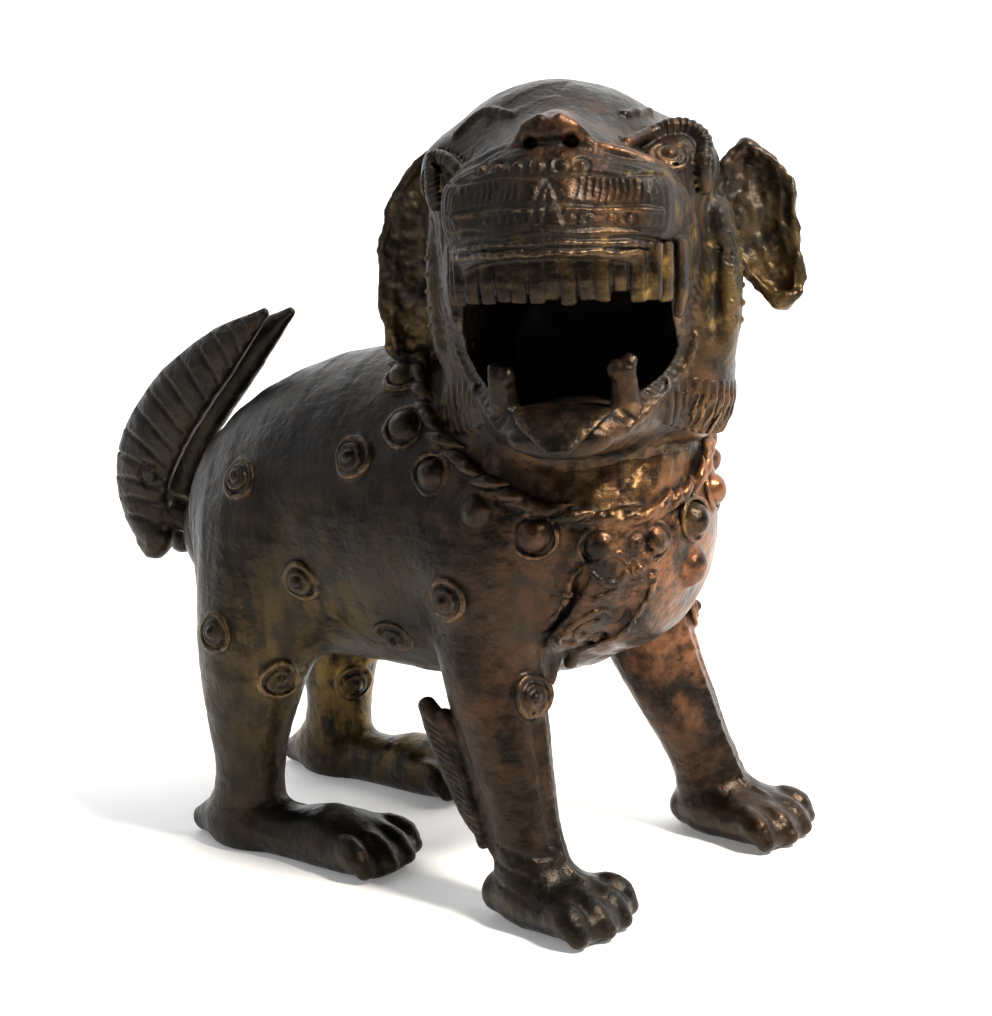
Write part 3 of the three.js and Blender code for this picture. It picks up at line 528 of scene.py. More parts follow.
def on_floor(x, y, z, d):
    return np.maximum(d, -z + 0 * d)


def model_fins():
    """The lock of hair down the outer back of each foreleg, with its two long ridges."""
    for side, word in SIDES:
        run = curve(foreleg_stations(side), 20)
        parts = []
        for i, (back, wide) in enumerate(((1.05, 1.5), (.66, 1.3))):
            stations = []
            for share, deep, off in ((.50, 1.7, 2.9), (.57, 2.8, 2.3), (.66, 3.0, 1.5), (.76, 2.6, .8),
                                     (.83, 1.7, .2), (.88, .7, -.4)):
                s = run[int(share * 20)]
                stations.append([s[0] + side * .66 * s[3], s[1] + back * s[4] + off, s[2] - 1.5 * i,
                                 wide, deep])
            parts.append(rod(stations, spans=12))
        lay(f"elbow_fin_{word}", Shape(parts, 0.35), 0.5, 0.32, rough=1.8)


TAIL_RISE, TAIL_FOOT = 48.0, AXIS_Z - 12
TAIL_LOBES = ((-3.2, 0, "right"), (3.2, 1.2, "left"))      # aside, forwards


def model_tail():
    rise, low = TAIL_RISE, TAIL_FOOT
    lobe = [[16.5, -.01, .34, 3.2], [19.6, .14, .46, 5.8], [17.6, .36, .50, 7.4], [7.5, .62, .50, 6.8],
            [-5.5, .84, .38, 4.6], [-17, 1.0, .14, 1.1]]
    for shift, inward, word in TAIL_LOBES:
        stations = [[MID_X + shift, RUMP + y - inward, low + t * rise - .5 * inward, w * 7, d]
                    for y, t, w, d in lobe]
        curl = [[MID_X + shift, RUMP + 15 - inward, low + 1.5, 2.2, 2.4],
                [MID_X + shift * 1.1, RUMP + 17.5 - inward, low - 2.0, 2.0, 2.0],
                [MID_X + shift * 1.2, RUMP + 20.5 - inward, low - .5, 1.2, 1.2]]
        lay(f"tail_lobe_{word}", Shape([rod(stations, spans=16), rod(curl, spans=5)], 1.2), 1.2, 0.42)
    root = rod([[MID_X, RUMP - 4, low + 4, 4.4, 4.2], [MID_X, RUMP + 5, low + 3, 3.4, 3.0],
                [MID_X, RUMP + 15, low + 6, 3.2, 3.0]], spans=6)
    lay("tail_root", root, 1.6, 0.42)


# ---------- head ----------
def model_skull():
    s = [[.52, .10, .42 * CHEEK, .22 * HEAD_H], [.42, .09, .76 * CHEEK, .35 * HEAD_H],
         [.20, .07, .97 * CHEEK, .47 * HEAD_H], [-.06, .07, CHEEK, .48 * HEAD_H],
         [-.26, .10, .90 * CHEEK, .43 * HEAD_H], [-.40, .14, .70 * CHEEK, .33 * HEAD_H]]
    skull = rod([[-1.0, y * HEAD_L, z * HEAD_H, w, h] for y, z, w, h in s], spans=14, place=HEAD, cap=0.35)
    crown = Ball([-4.6, -4.5, 16.3], [21.5, 19.0, 19.7], HEAD)
    mounds = [Ball([s * 18.0 - 1.6, -.20 * HEAD_L, BRIDGE - 1.5], [7.6, 8.2, 7.4], HEAD)
              for s in (RIGHT, LEFT)]
    jowls = [Ball([s * 17.6, -2.5, -12.0], [8.0, 10.5, 14.0], HEAD) for s in (RIGHT, LEFT)]
    lay("head_shell", Shape([skull, crown, *mounds, *jowls], 3.0), 3, 0.42)


def model_jaws():
    jaw = rod([[0, .04 * HEAD_L, -.62 * JAW_DROP, SNOUT + 1, .5 * JAW_DROP],
               [0, -.3 * REACH, -.68 * JAW_DROP, SNOUT - .5, .46 * JAW_DROP],
               [0, -.6 * REACH, -.82 * JAW_DROP, SNOUT - 5, .32 * JAW_DROP],
               [0, -.85 * REACH, -.98 * JAW_DROP, SNOUT - 11, .14 * JAW_DROP]],
              spans=10, place=HEAD, cap=0.35)
    lay("lower_jaw", jaw, 3, 0.36)
    mid = LIP + SNOUT_DEEP
    snout = rod([[0, -.10 * REACH, mid + 2, SNOUT + .6, SNOUT_DEEP + 2],
                 [0, -.60 * REACH, mid + .5, SNOUT + .2, SNOUT_DEEP],
                 [0, -.88 * REACH, mid, SNOUT - .9, SNOUT_DEEP - .8],
                 [0, -.99 * REACH, mid - .2, SNOUT - 3.4, SNOUT_DEEP - 2.6]],
                spans=10, place=HEAD, square=3.2, cap=0.2, ends=0.3)
    lay("upper_jaw", snout, 2, 0.3)


def model_cheeks():
    for side, word in SIDES:
        ruff = rod([[side * (CHEEK - 1.0), -.16 * HEAD_L, .20 * HEAD_H, 3.0, 2.0],
                    [side * (CHEEK + .2), -.12 * HEAD_L, .08 * HEAD_H, 4.6, 2.2],
                    [side * (CHEEK + .2), -.12 * HEAD_L, -.06 * HEAD_H, 4.6, 2.2],
                    [side * (CHEEK - .6), -.14 * HEAD_L, -.15 * HEAD_H, 3.2, 1.8]],
                   side=Y, spans=8, place=HEAD)
        lay(f"cheek_ruff_{word}", ruff, 2.6, 0.32, rough=1.8)
        locks = []
        for t in shares(15):
            turn = radians(28 + 84 * t)
            out = np.array([side * sin(turn), -cos(turn), 0])
            along = np.array([side * cos(turn), sin(turn), 0])
            hem = -20.5 - 3.4 * sin(pi * (.15 + .7 * t))
            start = [HEAD.point(np.array([side * 8, 0, z]) + 45 * out)
                     for z in (hem + 7.5, hem + 4, hem)]
            skin, _ = strike(start, -HEAD.way(out), ("head_shell", "lower_jaw", "neck_sleeve"))
            skin = skin + np.array([[-.3], [.45], [.8]]) * HEAD.way(out)
            locks.append(rod([[*skin[0], .6, .5], [*skin[1], .88, .8], [*skin[2], .82, .9]],
                             side=HEAD.way(along), spans=3))
        lay(f"cheek_flap_{word}", Shape(locks, 0.15), 0.5, 0.27)


MOUTH_HALF = SNOUT - 2.6


def open_mouth():
    """Clears the mouth between the jaws, the trough of the lower jaw and the throat."""
    half = MOUTH_HALF
    cut(rod([[0, -50, -3.5, half, 8.1], [0, 2, -3.5, half, 8.1]], spans=2, square=3.2, place=HEAD,
            ends=0.2), 0.5)
    cut(rod([[0, -50, -8, half, 12.4], [0, 2, -8, half + .4, 12.4]], spans=2, place=HEAD, ends=0.2), 0.5)
    cut(Block([-half, -.9 * REACH + 2.6, LIP - 4], [half, 6, LIP + .6 * MUZZLE_H], 2.5, HEAD))
    trough = rod([[0, .3 * HEAD_L, -.4 * JAW_DROP, SNOUT - 2.4, .5 * JAW_DROP],
                  [0, -.35 * REACH, -.44 * JAW_DROP, SNOUT - 3.0, .48 * JAW_DROP],
                  [0, -.7 * REACH, -.50 * JAW_DROP, SNOUT - 7.6, .42 * JAW_DROP],
                  [0, -1.4 * REACH, -.50 * JAW_DROP, SNOUT - 8, .42 * JAW_DROP]],
                 spans=9, place=HEAD, cap=0.2, ends=0.2)
    cut(trough, 0.5)
    cut(Ball([0, 3, 2], [19.5, 16, 22], HEAD))
    deep = NECK_FOOT + .35 * (NECK_TOP - NECK_FOOT)
    cut(rod([[*HEAD.point([0, 4, 0]), 14, 14], [*NECK_TOP, 14, 14], [*deep, 11, 11]], spans=5, ends=0.4))


TEETH, TOOTH_PITCH, SHORT_TOOTH = 15, 2.72, 11
ARCH_HALF = 15.6               # where the row of teeth turns back at each side


def model_mouth_parts():
    arch = [[x, -.945 * REACH + 2.8 * abs(x / 16) ** 3, LIP - 1.2, .7, 3.6] for x in np.linspace(-16, 16, 9)]
    teeth = [rod(arch, side=Y, spans=12, place=HEAD, square=3)]
    for i in range(TEETH):
        along = (i - 7) * TOOTH_PITCH
        turn = max(abs(along) - ARCH_HALF, 0)
        x = copysign(min(abs(along), ARCH_HALF + 1.9 * sin(min(turn / 3.2, 1.5))), along)
        y = -.965 * REACH + 2.8 * abs(x / 16) ** 3 + max(turn - 1.2, 0)
        drop = 6.5 * (1 - .05 * (i % 3 == 1) - .04 * (i % 2) + .03 * sin(2.6 * i))
        if i == SHORT_TOOTH:
            drop *= 0.74
        lean = .25 * sin(i * 2.3)
        teeth.append(rod([[x, y, LIP + 2.4, 1.40, 1.25], [x + .3 * lean, y - .1, LIP - .5 * drop, 1.38, 1.2],
                          [x + .6 * lean, y + .3, LIP - .95 * drop, 1.22, .85]],
                         spans=4, place=HEAD, square=3.4, ends=0.5))
    lay("upper_teeth", Shape(teeth, 0.10), 0.5, 0.27, "bronze_gold", 1.6)
    z = -.80 * JAW_DROP
    tongue = rod([[0, -.20 * REACH, z + 1.0, 6.0, 1.0], [0, -.60 * REACH, z + .4, 8.0, 1.0],
                  [.6, -.88 * REACH, z - .4, 8.2, .9], [1.2, -1.02 * REACH, z - 2.6, 6.4, .9],
                  [1.6, -1.10 * REACH, z - 6.2, 2.4, .8]], spans=10, place=HEAD, ends=0.9)
    lay("tongue", tongue, 0.5, 0.3)
    for side, word in SIDES:
        foot = -.80 * JAW_DROP
        tall = 9.0 if side == LEFT else 7.8
        fang = rod([[side * 10.2, -.70 * REACH, foot, 2.6, 2.2],
                    [side * 10.3, -.76 * REACH, foot + .45 * tall, 2.2, 1.8],
                    [side * 10.8, -.79 * REACH, foot + .75 * tall, 1.6, 1.4],
                    [side * 11.6, -.77 * REACH, foot + .95 * tall, 1.0, .8]],
                   spans=6, place=HEAD, square=2.6, ends=0.5)
        knob = Ball([side * 9.2, -.80 * REACH, foot + .72 * tall], [1.4, 1.3, 1.8], HEAD)
        lay(f"lower_fang_{word}", Shape([fang, knob], 0.5), 0.6, 0.26, rough=2.0)
        corner = rod([[side * (SNOUT - .7), -.60 * REACH, LIP + 3, 1.2, 3.0],
                      [side * (SNOUT - .6), -.62 * REACH, LIP - 3.6, 1.1, 2.6],
                      [side * (SNOUT - 1.2), -.66 * REACH, LIP - 8.6, .7, 1.0]],
                     spans=5, place=HEAD, ends=0.6)
        lay(f"corner_fang_{word}", corner, 0.8, 0.27, "bronze_gold")


def model_nose():
    dome = rod([[0, -.36 * REACH, BRIDGE + 4.2, 2.0, 2.0], [0, -.64 * REACH, BRIDGE + 4.8, 2.9, 2.3],
                [0, -.86 * REACH, BRIDGE + 4.7, 3.7, 2.4], [0, -.98 * REACH, BRIDGE + 3.6, 3.9, 2.0]],
               spans=8, place=HEAD)
    ridges = [rod([[s * 1.6, -.99 * REACH, BRIDGE + 5.2, 1.2, 1.1],
                   [s * 3.9, -.97 * REACH, BRIDGE + 3.9, 1.2, 1.2],
                   [s * 5.5, -.92 * REACH, BRIDGE + 1.5, 1.3, 1.3]], side=Y, spans=4, place=HEAD)
              for s in (RIGHT, LEFT)]
    lay("nose", Shape([dome, *ridges], 0.8), 0.8, 0.26, "bronze_copper", 1.5)
    for s in (RIGHT, LEFT):
        cut(rod([[s * 3.6, -1.16 * REACH, BRIDGE + .9, 1.1, .8],
                 [s * 3.2, -.90 * REACH, BRIDGE + 1.8, 1.1, .9]], side=X, spans=2, place=HEAD, ends=0.8), 0.3)
    for side, word in SIDES:
        strap = rod([[side * 5.4, -.93 * REACH, BRIDGE + 1.2, .9, .9],
                     [side * 11.2, -.86 * REACH, BRIDGE - .2, 1.1, 1.0],
                     [side * 16.2, -.76 * REACH, BRIDGE - 2.4, 1.15, 1.05],
                     [side * 19.2, -.64 * REACH, BRIDGE - 6.4, 1.2, 1.2],
                     [side * 20.4, -.50 * REACH, BRIDGE - 11.0, .9, 1.0]],
                    side=Y, spans=9, place=HEAD)
        lay(f"snout_strap_{word}", strap, 0.6, 0.27, "bronze_copper")


EYE = np.array([.77 * CHEEK, -.34 * HEAD_L, BRIDGE - .5])
FACE = ("head_shell", "upper_jaw")
BROW = ((-1.25, .45), (-.62, .84), (.0, 1.04), (.58, .92), (1.0, .45), (1.12, -.2), (1.02, -.9))
BROW_REACH = 5.2


def on_face(pairs, names=FACE, lift=0.0):
    """Points on the front of the face at [x, z] of the head's own frame."""
    local = np.array([[x, -CLEAR, z] for x, z in pairs], float)
    hits, _ = strike(HEAD.point(local), HEAD.way(Y), names)
    return hits - lift * HEAD.way(Y)


def eye_at(side):
    return EYE * [side, 1, 1] - ([2.0, 0, 0] if side == LEFT else [3.2, 0, 2.6])


def brow_line(side):
    """The brow's rope lies on the mound over the eye and down its outer side."""
    x, _, z = eye_at(side)
    reach = BROW_REACH if side == LEFT else .76 * BROW_REACH
    return on_face([[np.clip(x + side * u * reach, 2.0 - CHEEK, CHEEK - 2.6), z + v * reach]
                    for u, v in BROW], lift=.7)


def model_eyes():
    for side, word in SIDES:
        at = eye_at(side)
        seat = on_face([[at[0], at[2]]])[0]
        look = facing_at(seat, FACE)
        rings = [(3.0, .25, .55), (1.9, .6, .42)]
        lay(f"eye_{word}", Knob(seat, look, rings, (.4, 1.5), .15, side), 0.4, 0.22)
        line = brow_line(side)
        thick = np.array([1.2, 1.4, 1.55, 1.6, 1.6, 1.5, 1.2])[:, None]
        brow = rod(np.hstack([line, thick, thick]), side=HEAD.way(Y), spans=14)
        lay(f"brow_rope_{word}", brow, 0.5, 0.24)


def model_ears():
    """Each ear is a thin leaf that opens forwards, with a rolled rim, on a short root."""
    for side, word in SIDES:
        if side == LEFT:
            at = [CHEEK + 2.8, .06 * HEAD_L, .18 * HEAD_H + 1.0]
            spine = [[-.6, 1.2, 11.4, 2.0], [.1, .6, 8.4, 5.4], [.4, 0, 3.5, 7.2], [.8, 0, -2, 6.8],
                     [2.8, .4, -7.5, 5.4], [4.4, 1.0, -11.2, 4.0], [4.8, .2, -13.8, 2.6]]
            ear = Place(HEAD.point(at), -63, -9)
        else:
            at = [-CHEEK - 6.0, .08 * HEAD_L, .18 * HEAD_H - 3]
            spine = [[3.4, 1.2, 16.6, 2.4], [2.0, .8, 13, 5.2], [.8, 0, 7, 7.3], [.2, 0, 0, 8.0],
                     [0, .2, -7, 8.0], [-.4, .8, -13.5, 7.2], [-2.4, 1.6, -18.6, 4.2]]
            ear = Place(HEAD.point(at), -74, -9)
        leaf = rod([[x, y, z, w, .34 * w + 1.2] for x, y, z, w in spine], side=X, spans=14, place=ear)
        bowl = rod([[x, y - .30 * w - 1.3, z, max(w - 1.3, .6), .34 * w + 1.5] for x, y, z, w in spine],
                   side=X, spans=14, place=ear)
        front = Block([-30, -40, -40], [30, -.9, 40], 0.1, ear)
        dense = curve(spine, 12)
        dense[:, 3] *= 1 + .05 * np.sin(2.3 * np.arange(13))
        right = [[x + w - .5, y - .9, z] for x, y, z, w in dense]
        left = [[x - w + .5, y - .9, z] for x, y, z, w in dense]
        rim = [[*p, .8 + .25 * sin(1.7 * k), .9] for k, p in enumerate(right + left[::-1] + right[:1])]
        roll = rod(rim, side=Y, spans=52, place=ear)
        ribs = [rod([[x + u * w / 8, y + .04 * w + .6, z, .8, .75] for x, y, z, w in dense[2:11]],
                    side=X, spans=6, place=ear) for u in (-4.0, -.6, 2.6)]
        root = rod([[side * (CHEEK - 5), .10 * HEAD_L, .2 * HEAD_H, 5, 4.4],
                    [side * (CHEEK + 2), .12 * HEAD_L, .2 * HEAD_H, 6.4, 3.4]], side=Z, spans=3, place=HEAD)

        def shell(x, y, z, d, bowl=bowl, front=front):
            return np.maximum(np.maximum(d, -bowl.away(x, y, z)), -front.away(x, y, z))

        cup = Shape([leaf], 0, shell)
        lay(f"ear_{word}", Shape([cup, roll, root, *ribs], 0.6), 1.6, 0.32, "bronze_gold", 5.0)


# ---------- collar, bib, pellets and bosses ----------
TRUNK = ("torso_shell", "neck_sleeve")
SKIN = (*TRUNK, "foreleg_right", "foreleg_left", "hind_leg_right", "hind_leg_left")
COLLAR_RADIUS, COLLAR_SLOPE = 25.9, tan(radians(33))
THROAT = radians(HEAD_TURN * .55)
COLLAR_MID = NECK_FOOT + .42 * (NECK_TOP - NECK_FOOT)


def collar_line(count=64):
    """The seat of the rope round the neck, dropped towards the throat."""
    a = np.linspace(0, 2 * pi, count, endpoint=False)
    forward = np.array([sin(THROAT), -cos(THROAT), 0])
    sideways = np.array([-forward[1], forward[0], 0])
    r = COLLAR_RADIUS
    p = COLLAR_MID + r * np.sin(a)[:, None] * sideways + r * np.cos(a)[:, None] * forward
    p[:, 2] += 2.6 - r * np.cos(a) * COLLAR_SLOPE
    for _ in range(10):
        p -= .8 * np.clip(field_at(p, TRUNK)[:, None], -2, 2) * facing_at(p, TRUNK)
    for _ in range(3):
        p = (np.roll(p, 1, 0) + 2 * p + np.roll(p, -1, 0)) / 4
    return p


def model_collar():
    """A cord laid round the neck, its twist showing as a chain of slanting grains."""
    line = collar_line(120)
    out = facing_at(line, TRUNK)
    along = unit(np.roll(line, -1, 0) - np.roll(line, 1, 0))
    side = np.cross(along, out)
    n, grains = len(line), 44
    core = line + .4 * out
    core = np.vstack([core, core[:1]])
    parts = [rod([[*p, .95, .75] for p in core[::4]], side=Z, spans=60)]
    for k in range(grains):
        i = int(k * n / grains)
        slant = radians(-20 + 8 * sin(k * 2.1))
        way = unit(cos(slant) * along[i] + sin(slant) * side[i])
        c = line[i] + out[i] * (1.15 + .3 * sin(k * 1.7))
        half = 4.1 + .6 * sin(k * 1.3)
        parts.append(rod([[*(c - half * way - .7 * out[i]), .35, .35], [*(c - .45 * half * way), .95, .9],
                          [*(c + .1 * way + .25 * out[i]), 1.25, 1.15], [*(c + .5 * half * way), .95, .9],
                          [*(c + half * way - .7 * out[i]), .35, .35]], side=side[i], spans=6))
    lay("collar_rope", Shape(parts, 0.25), 0.5, 0.3, "bronze_dark", 2.2)


def model_pellets():
    for i in range(12):
        name = f"bell_{i + 1}"
        seat = settle(middle(name), TRUNK)[0]
        out = facing_at(seat, TRUNK)
        size = 1 + .08 * sin(i * 1.9)
        rings = [(3.55 * size, .35, .5)]
        lay(name, Knob(seat, out, rings, (-.1, 2.95 * size), .25, i * 1.3), 0.4, 0.3,
            "bronze_copper" if 3 < i < 10 else "bronze_dark", 1.8)


BOSSES = sorted(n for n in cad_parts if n.startswith("boss_"))


def model_bosses():
    for i, name in enumerate(BOSSES):
        seat = settle(middle(name), SKIN)[0]
        out = facing_at(seat, SKIN)
        rings = [(3.5, .30, .58), (2.0, .95, .48)]
        lay(name, Knob(seat, out, rings, (1.25, 1.22), .40, i * 2.1, 1.3), 0.5, 0.25, rough=1.8)


BIB_TURN = radians(-30)
BIB_ASIDE = 3.4
CHEST_WAYS = np.array([cos(BIB_TURN), sin(BIB_TURN), 0])


def on_chest(pairs, names=TRUNK, lift=0.0):
    """Points on the chest at [across, up] from the middle of the bib."""
    mid = middle("chest_bib")
    start = [mid + u * CHEST_WAYS + v * Z - CLEAR * Y for u, v in pairs]
    hits, _ = strike(start, Y, names)
    return hits - lift * Y


def model_bib():
    """The patch that hangs on the chest, thin and ragged, with drips at its hem."""
    low, high = corners("chest_bib")
    tall = (high[2] - low[2]) / 2
    rows = ((1.0, 4.8), (.62, 5.6), (.2, 6.2), (-.25, 6.2), (-.62, 5.4), (-.95, 3.4))
    stations = [[*on_chest([[BIB_ASIDE + .4 * sin(3 * t), t * tall]], lift=.3)[0], wide, 1.35]
                for t, wide in rows]
    drips = []
    for u, drop, r in ((.2, 2.0, 1.3), (3.4, 4.4, 1.4), (6.4, 1.6, 1.6)):
        a = on_chest([[u, -.8 * tall]])[0]
        drips.append(rod([[*a, 1.7, 1.3], [*(a + [0, 1.0, -1.2 - drop]), r * .8, .9]],
                         side=CHEST_WAYS, spans=2))
    edge = []
    for k in range(27):
        a = 2 * pi * k / 26
        ragged = 1 + .07 * sin(5 * a) + .05 * sin(9 * a + 1)
        spot = [BIB_ASIDE + 6.0 * ragged * cos(a), .86 * tall * ragged * sin(a)]
        edge.append([*on_chest([spot], lift=.7)[0], .62, .62])
    rim = rod(edge, side=Z, spans=52)
    lay("chest_bib", Shape([rod(stations, side=CHEST_WAYS, spans=10), rim, *drips], 0.5), 0.5, 0.3,
        "bronze_copper", 3.0)


model_torso()
model_neck()
model_legs()
model_tail()
model_skull()
model_jaws()
model_cheeks()
open_mouth()
model_mouth_parts()
model_nose()
model_eyes()
model_ears()
model_fins()
model_collar()
model_bib()
model_pellets()
model_bosses()


# ---------- punched, scratched and laid lines ----------
HEAD_SKIN = ("head_shell", "upper_jaw", "lower_jaw", "neck_sleeve", "cheek_ruff_right", "cheek_ruff_left",
             "cheek_flap_right", "cheek_flap_left")


def on_cheek(side, pairs, names=HEAD_SKIN, lift=0.0):
    local = np.array([[side * 50, y, z] for y, z in pairs], float)
    hits, _ = strike(HEAD.point(local), HEAD.way(X) * -side, names)
    return hits + lift * side * HEAD.way(X)


def scratch(points, radius=0.32, soft=0.15):
    threads.append(Thread(points, radius, True, soft))


def scratch_where(starts, way, names, radius, soft, least=1):
    """A scratch through the places where rays meet a piece, if enough of them do."""
    hits, ok = strike(starts, way, names)
    if ok.sum() >= least:
        scratch(hits[ok], radius, soft)


def wax_thread(points, radius=0.5, soft=0.3):
    threads.append(Thread(points, radius, False, soft))


def punch(at, facing, radius=1.15, line=0.30):
    """A ring punched into the skin."""
    side = unit(np.cross(facing, Z + .2 * X))
    up = np.cross(facing, side)
    a = np.linspace(0, 2 * pi, 11)
    ring = at + radius * (np.cos(a)[:, None] * side + np.sin(a)[:, None] * up)
    threads.append(Thread(ring, line, True, 0.12))
    threads.append(Thread([at, at + .01 * up], .42 * radius, False, 0.2))


def punch_on(at, names, radius, line):
    """A ring punched square to the surface under it."""
    punch(at[0], facing_at(at, names)[0], radius, line)


def bow(x):
    """How far the rows on the muzzle droop towards its sides."""
    return -.14 * (x / 10) ** 2


def mark_muzzle():
    mid = LIP + SNOUT_DEEP
    for x in (-11.5, -8.2, -4.9, -1.2, 2.6, 5.6):
        punch_on(on_face([[x, BRIDGE - 2.1 + bow(x)]]), FACE, 1.25, .34)
    for x in np.arange(-10, 14.5, 2.9):
        if abs(x) > 2.8:
            punch_on(on_face([[x, mid - 1.9 + bow(x)]]), FACE, .95, .26)
    for low, high, first, last in ((mid + 1.2, mid + 4.4, -16.5, -4.0), (mid + .6, mid + 4.2, 4.5, 17.5)):
        count = int((last - first) / 1.05)
        for k in range(count):
            x = first + (k + .5) * (last - first) / count
            slant = .5 * sin(k * .7)
            scratch(on_face([[x - .2 + slant * .2, low + bow(x)], [x + .15, (low + high) / 2 + bow(x)],
                             [x + slant * .3, high + bow(x)]], lift=.05), .30)
    xs = np.linspace(-18, 18, 26)
    for z, r in ((mid + 5.0, .40), (mid + .2, .42), (mid - 3.6, .40), (mid - 5.2, .46), (mid - 6.8, .34)):
        wave = .25 * np.sin(xs * .5 + z)
        scratch(on_face([[x, z + bow(x) + w] for x, w in zip(xs, wave)]), r)
    for z in (mid - .7, mid - 6.0):
        wax_thread(on_face([[x, z + bow(x)] for x in xs]), .34, .3)
    leaf = [[[.3, mid + 4.2], [-1.0, mid + 1.6], [-1.7, mid - 2.4]],
            [[.5, mid + 4.0], [.5, mid + .6], [.2, mid - 3.0]],
            [[.8, mid + 4.2], [2.2, mid + 1.4], [3.6, mid - 2.8]]]
    for line, r in zip(leaf, (.42, .34, .46)):
        scratch(on_face(curve(line, 5)), r)
    edge = [[x, LIP + 1.1 + .2 * sin(x)] for x in np.linspace(-18.5, 18.5, 24)]
    wax_thread(on_face(edge), .5, .4)


def mark_brows():
    for side in (RIGHT, LEFT):
        line = curve(brow_line(side), 19)
        eye = HEAD.point(eye_at(side))
        for a, b in zip(line[:-1], line[1:]):
            c, along = (a + b) / 2, unit(b - a)
            out = unit((c - eye) - ((c - eye) @ along) * along)
            fore = unit(np.cross(along, out))
            ring = [c + 1.75 * (cos(t) * out + sin(t) * fore) + .5 * along * sin(t)
                    for t in np.linspace(-2.6, 2.6, 9)]
            scratch(ring, .34, .12)


def mark_crown():
    """A scratched comb along the brow of the skull."""
    for t in shares(15):
        x, z = -13 + 11 * t, 28.5 + 5.2 * sin(t * 1.5)
        scratch(on_face([[x, z - 1.4], [x + .5, z + 1.2]], ("head_shell",), .05), .30)
    for side in (RIGHT, LEFT):
        base = [[side * 9, BRIDGE + 7.4], [side * 14.5, BRIDGE + 8.4], [side * 19.5, BRIDGE + 4.8]]
        wax_thread(on_face(curve(base, 8), ("head_shell",)), .7, .8)


def mark_cheeks():
    cy, cz, r = -3.0, -6.0, 15.5
    for side in (RIGHT, LEFT):
        for t in shares(26):
            a = radians(200 - 150 * t)
            inner, outer = ([cy + (r + d) * cos(a) * .72, cz + (r + d) * sin(a)]
                            for d in (-1.6, 1.6))
            if outer[1] < 9:
                scratch(on_cheek(side, [inner, outer], lift=-.05), .3)
        for row in range(3):
            for k in range(6):
                y, z = -9.5 + 3.0 * row + .5 * (k % 2), 9.0 - 2.9 * k
                at = on_cheek(side, [[y, z]])
                if row == 1:
                    wax_thread([at[0], at[0] + .02 * Z], .62, .3)
                else:
                    punch_on(at, HEAD_SKIN, .85, .24)
        for t in shares(15):
            y = -12.5 + 13.5 * t
            drop = -.36 * HEAD_H - 2.6 * sin(pi * t)
            scratch(on_cheek(side, [[y, drop + 4.6], [y + .3, drop + .4]], lift=-.05), .34)
        for k in range(22):
            t = rng.random()
            z0, y0 = -20 + 24 * t, -2 + 9 * rng.random()
            length = 3.5 + 2.5 * rng.random()
            lock = [[y0, z0], [y0 + .35 * length, z0 - .5 * length], [y0 + .5 * length, z0 - length]]
            scratch(on_cheek(side, lock, lift=.05), .22)


LIPS = ("lower_jaw", "head_shell")


def mark_lips():
    """Ticks along the rim of the lower jaw."""
    for side in (RIGHT, LEFT):
        for t in shares(15):
            x = side * (18.6 - 9.5 * t ** 1.6)
            z = -6.0 - 15.0 * t
            scratch(on_face([[x, z - .2], [x + side * 1.3, z - 1.3]], LIPS), .34)
        rim = [[side * (18.6 - 9.5 * t ** 1.6) + side * 1.9, -8.0 - 15.0 * t] for t in np.linspace(0, 1, 12)]
        wax_thread(on_face(rim, LIPS), .5, .5)


def mark_tail():
    rise, base = TAIL_RISE, TAIL_FOOT
    for (side, word), (_, shift, _) in zip(SIDES, TAIL_LOBES):
        name = f"tail_lobe_{word}"
        spine = curve([[RUMP + 19.4, base + .10 * rise, 5.2], [RUMP + 17.6, base + .36 * rise, 7.2],
                       [RUMP + 7.5, base + .62 * rise, 6.6], [RUMP - 5.5, base + .84 * rise, 4.4],
                       [RUMP - 15, base + .98 * rise, 1.4]], 13)
        for k in range(14):
            y, z, d = spine[k]
            ahead = spine[min(k + 1, 13)] - spine[max(k - 1, 0)]
            way = unit(ahead[:2])
            across = np.array([way[1], -way[0]])
            pts = []
            for s in np.linspace(-.9, .9, 7):
                q = np.array([y, z]) + across * s * d + way * (1.6 * (1 - s * s) - .8)
                pts.append([side * 45 + MID_X, q[0] - shift, q[1] - .5 * shift])
            scratch_where(pts, -side * X, (name,), .42, .25, 3)
        at, ok = strike([[side * 45 + MID_X, RUMP + 14.5 - shift, base + .30 * rise]], -side * X, (name,))
        if ok[0]:
            wax_thread([at[0], at[0] + .02 * Z], 1.5, .4)
            punch(at[0], side * X, 2.5, .5)


def mark_bib():
    """Crescents, drops and a column of punched rings on the bib."""
    names = (*TRUNK, "chest_bib")
    for row in range(5):
        punch_on(on_chest([[5.2 + .2 * row, 9.0 - 4.4 * row]], names), names, 1.9, .42)
        punch_on(on_chest([[8.4 + .2 * row, 7.2 - 4.4 * row]], names), names, 1.1, .32)
    for u, v, r, first, last in ((.8, -5.6, 3.4, 40, 280), (.2, 5.4, 2.7, 20, 340), (.8, -5.8, 1.5, 60, 300)):
        arc = [[u + r * cos(radians(a)), v + r * sin(radians(a))]
               for a in np.linspace(first, last, 14)]
        wax_thread(on_chest(arc, names, .2), .55, .25)
    wax_thread(on_chest([[-4.0, 1.2], [-1.4, .4], [1.6, 1.4]], names, .2), .5, .25)


